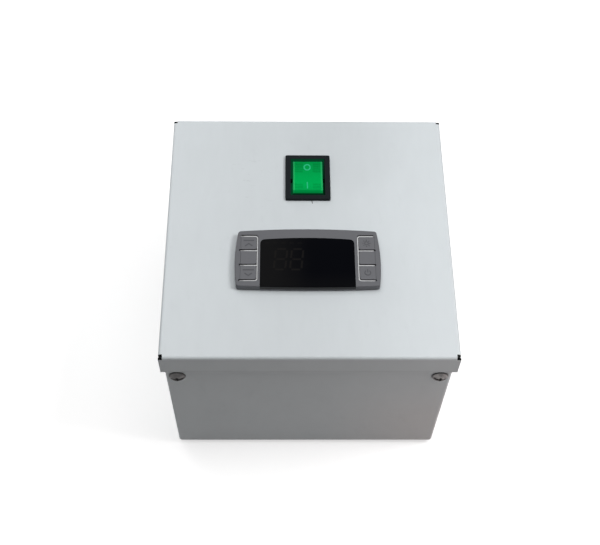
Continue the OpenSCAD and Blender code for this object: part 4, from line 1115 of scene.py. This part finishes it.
class DRYER_OT_controller(Step, bpy.types.Operator):
    """Model the controller's bezel, window and tongue keys"""
    bl_idname = "dryer.controller"
    bl_label = "Fit Controller"

    def execute(self, context):
        given = settings().controller
        grey = moulded("bezel_grey", given.bezel, 0.5, cloud=0.04, grain=0.5, depth=0.014, specular=0.2)
        piece("bezel", self.bezel(), grey, ["controller_bezel"], edge=0.1)
        black = window_black("window_dark", given.window)
        piece("window", self.window(), black, ["display_lens"], edge=0.12)
        pale = silicone("groove_silicone", given.rubber)
        piece("groove_rubber", joined([self.rubber(side) for side in KEY_ENDS]), pale,
              ["key_membranes"], edge=0.05)
        key = moulded("key_grey", given.keys, 0.46, cloud=0.04, grain=0.5, specular=0.2)
        mark = moulded("key_mark_grey", times(given.keys, 0.62), 0.5, depth=0.01, specular=0.2)
        for side in KEY_ENDS:
            for row, name in enumerate(("top", "middle", "bottom")):
                piece(f"cap_{side}_{name}", self.key(side, row), [key, mark],
                      [f"key_{side}_{name}"], edge=0.06)
        return {"FINISHED"}

    @staticmethod
    def outline(pull):
        """The bezel's bowed outline, pulled in by the given amount."""
        far, near = HALF_BEZEL[0] - 1.3 - pull, HALF_BEZEL[0] - 0.6 - pull
        top, low = HALF_BEZEL[1] - BOW_FAR - pull, BOW_NEAR - HALF_BEZEL[1] + pull
        bm = bmesh.new()
        bm.faces.new([bm.verts.new(p) for p in ((near, low, 0), (far, top, 0), (-far, top, 0), (-near, low, 0))])
        round_corners(bm, bm.verts[:], 1.6, 5)
        for start, end, height, cuts in DRYER_OT_controller.long_edges(bm):
            bow(bm, start, end, height, cuts)
        bmesh.ops.translate(bm, vec=PANEL, verts=bm.verts)
        return bm

    @staticmethod
    def long_edges(bm):
        """The four long edges, with the height of their bow and how finely they are divided."""
        found = []
        for edge in bm.edges:
            if edge.calc_length() < 10:
                continue
            a, b = (v.co.copy() for v in edge.verts)
            middle = (a + b) / 2
            if (b - a).cross(middle).z > 0:
                a, b = b, a
            if abs(middle.x) > abs(middle.y):
                found.append((a, b, BOW_SIDE, 7))
            else:
                found.append((a, b, BOW_FAR if middle.y > 0 else BOW_NEAR, 15))
        return found

    @classmethod
    def form(cls, low, high, pull=0.0, edge=0.5):
        """The whole bezel, from one height to another, with its upper edge rounded."""
        bm = raised(cls.outline(pull), low, high)
        if edge:
            round_off(bm, level(bm, high), edge, 3)
        return bm

    @staticmethod
    def window_outline(grow=0.0):
        """The window's outline, open at the near edge, where it runs out of the bezel."""
        x0, x1, y1 = WINDOW_X[0] - grow, WINDOW_X[1] + grow, WINDOW_FAR - WINDOW_BOW + grow
        near, radius = BEZEL_NEAR - 2, 2.5
        bm = bmesh.new()
        bm.faces.new([bm.verts.new(p) for p in ((x0, near, 0), (x1, near, 0), (x1, y1, 0), (x0, y1, 0))])
        round_corners(bm, [v for v in bm.verts if v.co.y > near + 1], radius, 6)
        bow(bm, (x1 - radius, y1, 0), (x0 + radius, y1, 0), WINDOW_BOW, 11)
        return bm

    @staticmethod
    def key_side(side):
        """Outer and inner end of a column of keys, and the way from the outer to the inner one."""
        return (*KEY_ENDS[side], 1 if side == "left" else -1)

    def key_opening(self, side):
        """Room for a column of keys, and for the grooves that run out past their outer ends."""
        out, end, way = self.key_side(side)
        inner, start = end + way * GROOVE, out + way * 1.1
        far, near = KEY_Y[0], KEY_Y[3]
        keys = block((out, near + 0.3, BEZEL_Z - 2), (end, far + 0.05, FACE + 2))
        groove = block((start, near - 0.3, BEZEL_Z - 2), (inner, far + 1.15, FACE + 2))
        round_off(groove, self.upright_at(groove, inner), 1.6, 6)
        runs = []
        for y, down, up in zip(KEY_Y, (0, 0.35, 0.35, 0.3), (1.15, 0.78, 0.78, 0.78)):
            stop = out - way * (GROOVE_RUN[side] - (0.7 if y == far else 0))
            run = block((stop, y - down, FACE - 1.6), (start + way, y + up, FACE + 2))
            round_off(run, self.upright_at(run, stop), 0.34, 6)
            runs.append(run)
        return carve(keys, [groove, *runs], "UNION")

    @staticmethod
    def upright_at(bm, x):
        return [e for e in upright(bm) if abs(e.verts[0].co.x - x) < 0.01]

    def rubber(self, side):
        """A mat under a column of keys, with a rib that runs round them in the groove."""
        out, end, way = self.key_side(side)
        line, stop, beyond = end + way * GROOVE / 2, out - way * RIB_RUN[side], out - way * 4
        far, near = KEY_Y[0] + 0.42, KEY_Y[3] + 0.1
        low, high = BEZEL_Z - 0.2, FACE - 0.35
        centre = ((beyond + line) / 2, (far + near) / 2)
        width, depth = abs(line - beyond), far - near
        loop = carve(rounded_plate(centre, width + 2 * RIB, depth + 2 * RIB, 1.5, low, high),
                     [rounded_plate(centre, width - 2 * RIB, depth - 2 * RIB, 1.1, low - 1, high + 1)])
        loop = carve(loop, [block((beyond - way, near - 2, low - 1), (stop, far + 2, high + 1))])
        bars = [block((stop, y + 0.05 - RIB, low), (line, y + 0.05 + RIB, high)) for y in KEY_Y[1:3]]
        mat = block((out - way * 0.3, KEY_Y[3] - 0.45, BEZEL_Z - 1.2), (line + way * 0.3, KEY_Y[0] + 0.7, BEZEL_Z))
        return carve(mat, [loop, *bars], "UNION")

    def under_edge(self, x0, x1, low, high):
        """What the bezel's near edge has outside its wall, between two widths and two heights."""
        return carve(block((x0, BEZEL_NEAR - 3, low), (x1, BEZEL_NEAR + 1.2, high)),
                     [self.form(BEZEL_Z, FACE + 1, LENS_T, 0)])

    def bezel(self):
        skirt, core = [block((PANEL.x - reach, HOUSING_Y - half, BEZEL_Z - down),
                             (PANEL.x + reach, HOUSING_Y + half, BEZEL_Z + up))
                       for reach, half, down, up in ((25, 14.3, 1.2, 0.5), (50, 12.8, 3, 0))]
        form = carve(self.form(BEZEL_Z, FACE), [skirt], "UNION")
        x0, x1 = WINDOW_X
        seat = raised(self.window_outline(0.05), FACE - LENS_T, FACE + 1)
        mouth = self.under_edge(x0 - 0.05, x1 + 0.05, BEZEL_Z + 0.9, FACE)
        light_well = block((x0 + 3, BEZEL_NEAR + 6, BEZEL_Z - 1), (x1 - 3, WINDOW_FAR - 3, FACE))
        openings = joined([self.key_opening(side) for side in KEY_ENDS])
        return carve(form, [core, openings, seat, mouth, light_well])

    def window(self):
        plate = raised(self.window_outline(), FACE - LENS_T, FACE)
        apron = self.under_edge(*WINDOW_X, BEZEL_Z + 0.95, FACE - 0.01)
        return carve(carve(plate, [apron], "UNION"), [self.form(BEZEL_Z, FACE)], "INTERSECT")

    def key(self, side, row):
        """A tongue with round inner corners and a square root, with its mark."""
        out, end, way = self.key_side(side)
        far = KEY_Y[row] - (GROOVE / 2 if row > 0 else 0.1)
        near = KEY_Y[row + 1] + 0.8
        centre = Vector(((out + end) / 2, (far + near) / 2))
        cap = rounded_plate(centre, abs(out - end) - 0.2, far - near, 1.1, KEY_LOW, KEY_TOP, 5)
        root = out + way * 0.1
        cap = carve(cap, [block((root, near, KEY_LOW), (root + way * 1.2, far, KEY_TOP))], "UNION")
        inner = [e for e in level(cap, KEY_TOP) if all(abs(v.co.x - root) > 0.01 for v in e.verts)
                 and len(e.link_faces) == 2 and e.calc_face_angle() > 0.5]
        round_off(cap, inner, 0.16, 2)
        marks = self.mark(side, row)
        for mark in marks:
            for face in mark.faces:
                face.material_index = 1
        return joined([cap, *[placed(mark, shift(*centre, KEY_TOP)) for mark in marks]])

    @staticmethod
    def mark(side, row):
        """Low pictograms on the corner keys: arrows up and down, a lamp, and a power sign."""
        low, high = -0.05, 0.04
        if row == 1:
            return []
        if side == "left":
            tip = 1 if row == 0 else -1
            arm = block((-2.4, -0.35, low), (0.24, 0.35, high))
            arms = [placed(arm, turn(angle), shift(0, tip * 0.75 - 1.1))
                    for angle in (radians(tip * 38), radians(180 - tip * 38))]
            return [carve(arms[0], arms[1:], "UNION"), block((-2.8, 1.2, low), (2.8, 2.0, high))]
        if row == 0:
            ray = block((1.5, -0.2, low), (2.2, 0.2, high))
            return [ring(0.7, 1.2, low, high, 24), *[placed(ray, turn(i * pi / 4)) for i in range(8)]]
        return [arc(1.2, 1.75, low, high, radians(125), radians(290)), block((-0.27, 0.2, low), (0.27, 2.1, high))]


class DRYER_OT_inlet(Step, bpy.types.Operator):
    """Dress the mains inlet with its pins and fuse drawer"""
    bl_idname = "dryer.inlet"
    bl_label = "Fit Inlet"

    def execute(self, context):
        shell = moulded("inlet_nylon", linear(30, 30, 32), 0.45, depth=0.015)
        drawer = moulded("drawer_nylon", linear(36, 36, 38), 0.42)
        brass = metal("pin_brass", linear(190, 188, 180), 0.25, (1, 0.2, 1))
        zinc = metal("inlet_zinc", linear(176, 178, 180), 0.35)
        softened("inlet_shell", "inlet_socket", shell)
        softened("drawer_shell", "fuse_drawer", drawer, 0.25)
        softened("inlet_pin_set", "inlet_pins", brass, 0.35)
        softened("inlet_screw_set", "inlet_fasteners", zinc, 0.08)
        return {"FINISHED"}


class DRYER_OT_fan(Step, bpy.types.Operator):
    """Dress the fan behind the intake"""
    bl_idname = "dryer.fan"
    bl_label = "Fit Fan"

    def execute(self, context):
        softened("fan_housing", "fan_frame", moulded("fan_frame_black", linear(34, 34, 36), 0.5))
        softened("fan_wheel", "fan_rotor", moulded("fan_wheel_black", linear(40, 40, 42), 0.42))
        return {"FINISHED"}


class DRYER_OT_inside(Step, bpy.types.Operator):
    """Give every remaining solid its own finish"""
    bl_idname = "dryer.inside"
    bl_label = "Finish Inside"

    def execute(self, context):
        gasket = moulded("gasket_rubber", linear(26, 26, 27), 0.8, depth=0.03, specular=0.2)
        finishes = {
            metal("zinc_sheet_finish", linear(170, 173, 176), 0.4, spangle=0.5):
                [f"lid_bracket_{y}_{x}" for y in ("front", "back") for x in ("left", "right")],
            metal("nut_zinc", linear(170, 171, 168), 0.35):
                ["lid_clinch_nuts", "duct_nuts", "fan_nuts", "earth_stud", "fan_bearings", "temperature_probe"],
            metal("contact_metal", linear(196, 168, 104), 0.3):
                ["rocker_plunger", "switch_levers", "switch_terminals"],
            metal("duct_sheet", linear(205, 207, 209), 0.32, (0.15, 1, 1), size=1.5): ["air_duct"],
            metal("fin_aluminium", linear(200, 202, 205), 0.3, (1, 1, 0.2), size=1.0):
                ["heater_fins", "heater_bars"],
            moulded("housing_abs", linear(30, 30, 31), 0.5):
                ["controller_housing", "panel_clip_left", "panel_clip_right"],
            gasket: ["controller_gasket", "probe_grommet"],
            moulded("lamp_glass_finish", linear(196, 120, 50), 0.15): ["switch_lamp"],
            moulded("digit_block", linear(46, 46, 50), 0.35): ["display_digits"],
            board("solder_mask", linear(20, 78, 42)): ["display_board", "power_board"],
            moulded("relay_case", linear(38, 78, 150), 0.35): ["relay"],
            winding("transformer_tape", linear(190, 160, 60)): ["transformer"],
            moulded("ribbon_grey", linear(150, 150, 152), 0.5): ["board_ribbon"],
            moulded("terminal_green_finish", linear(46, 130, 78), 0.42): ["controller_terminals"],
            moulded("ivory_finish", linear(214, 208, 190), 0.45): ["terminal_strip"],
            moulded("mica_end", linear(66, 58, 50), 0.6): ["heater_end_caps"],
            moulded("phenolic", linear(46, 38, 34), 0.4): ["thermal_cutout"],
            moulded("tact_black", linear(40, 40, 42), 0.45): ["tact_switches"],
            moulded("ferrite", linear(58, 58, 60), 0.6): ["fan_magnet"],
            winding("copper_turns", linear(176, 98, 52)): ["fan_stator"],
            glass("fuse_tube", linear(220, 228, 225)): ["fuse"],
            wires("wire_insulation_finish"): ["wiring"],
        }
        for finish, names in finishes.items():
            for name in names:
                mesh = NODES[name].data
                mesh.materials.clear()
                mesh.materials.append(finish)
        return {"FINISHED"}


class DRYER_PT_panel(bpy.types.Panel):
    """Lists the settings and the pieces"""
    bl_label = "Filament Dryer Unit"
    bl_idname = "DRYER_PT_panel"
    bl_space_type = "VIEW_3D"
    bl_region_type = "UI"
    bl_category = "Dryer"

    def draw(self, context):
        for name in ("box", "switch", "controller", "stage"):
            given = getattr(context.scene.dryer, name)
            column = self.layout.box().column(align=True)
            column.label(text=name.title())
            for prop in given.bl_rna.properties:
                if prop.identifier not in ("rna_type", "name"):
                    column.prop(given, prop.identifier)
        column = self.layout.column(align=True)
        for operator in OPERATORS:
            column.operator(operator.bl_idname)


OPERATORS = [DRYER_OT_stage, DRYER_OT_tray, DRYER_OT_lid, DRYER_OT_fasteners, DRYER_OT_switch,
             DRYER_OT_controller, DRYER_OT_inlet, DRYER_OT_fan, DRYER_OT_inside]
GROUPS = [DryerBoxSettings, DryerSwitchSettings, DryerControllerSettings, DryerStageSettings, DryerSettings]


def register():
    for cls in [*GROUPS, *OPERATORS, DRYER_PT_panel]:
        bpy.utils.register_class(cls)
    bpy.types.Scene.dryer = PointerProperty(type=DryerSettings, name="Dryer", description="The dryer's settings")


def unregister():
    del bpy.types.Scene.dryer
    for cls in reversed([*GROUPS, *OPERATORS, DRYER_PT_panel]):
        bpy.utils.unregister_class(cls)


def main():
    register()
    for operator in OPERATORS:
        category, name = operator.bl_idname.split(".")
        getattr(getattr(bpy.ops, category), name)()
    bpy.context.view_layer.update()


if __name__ == "__main__":
    main()
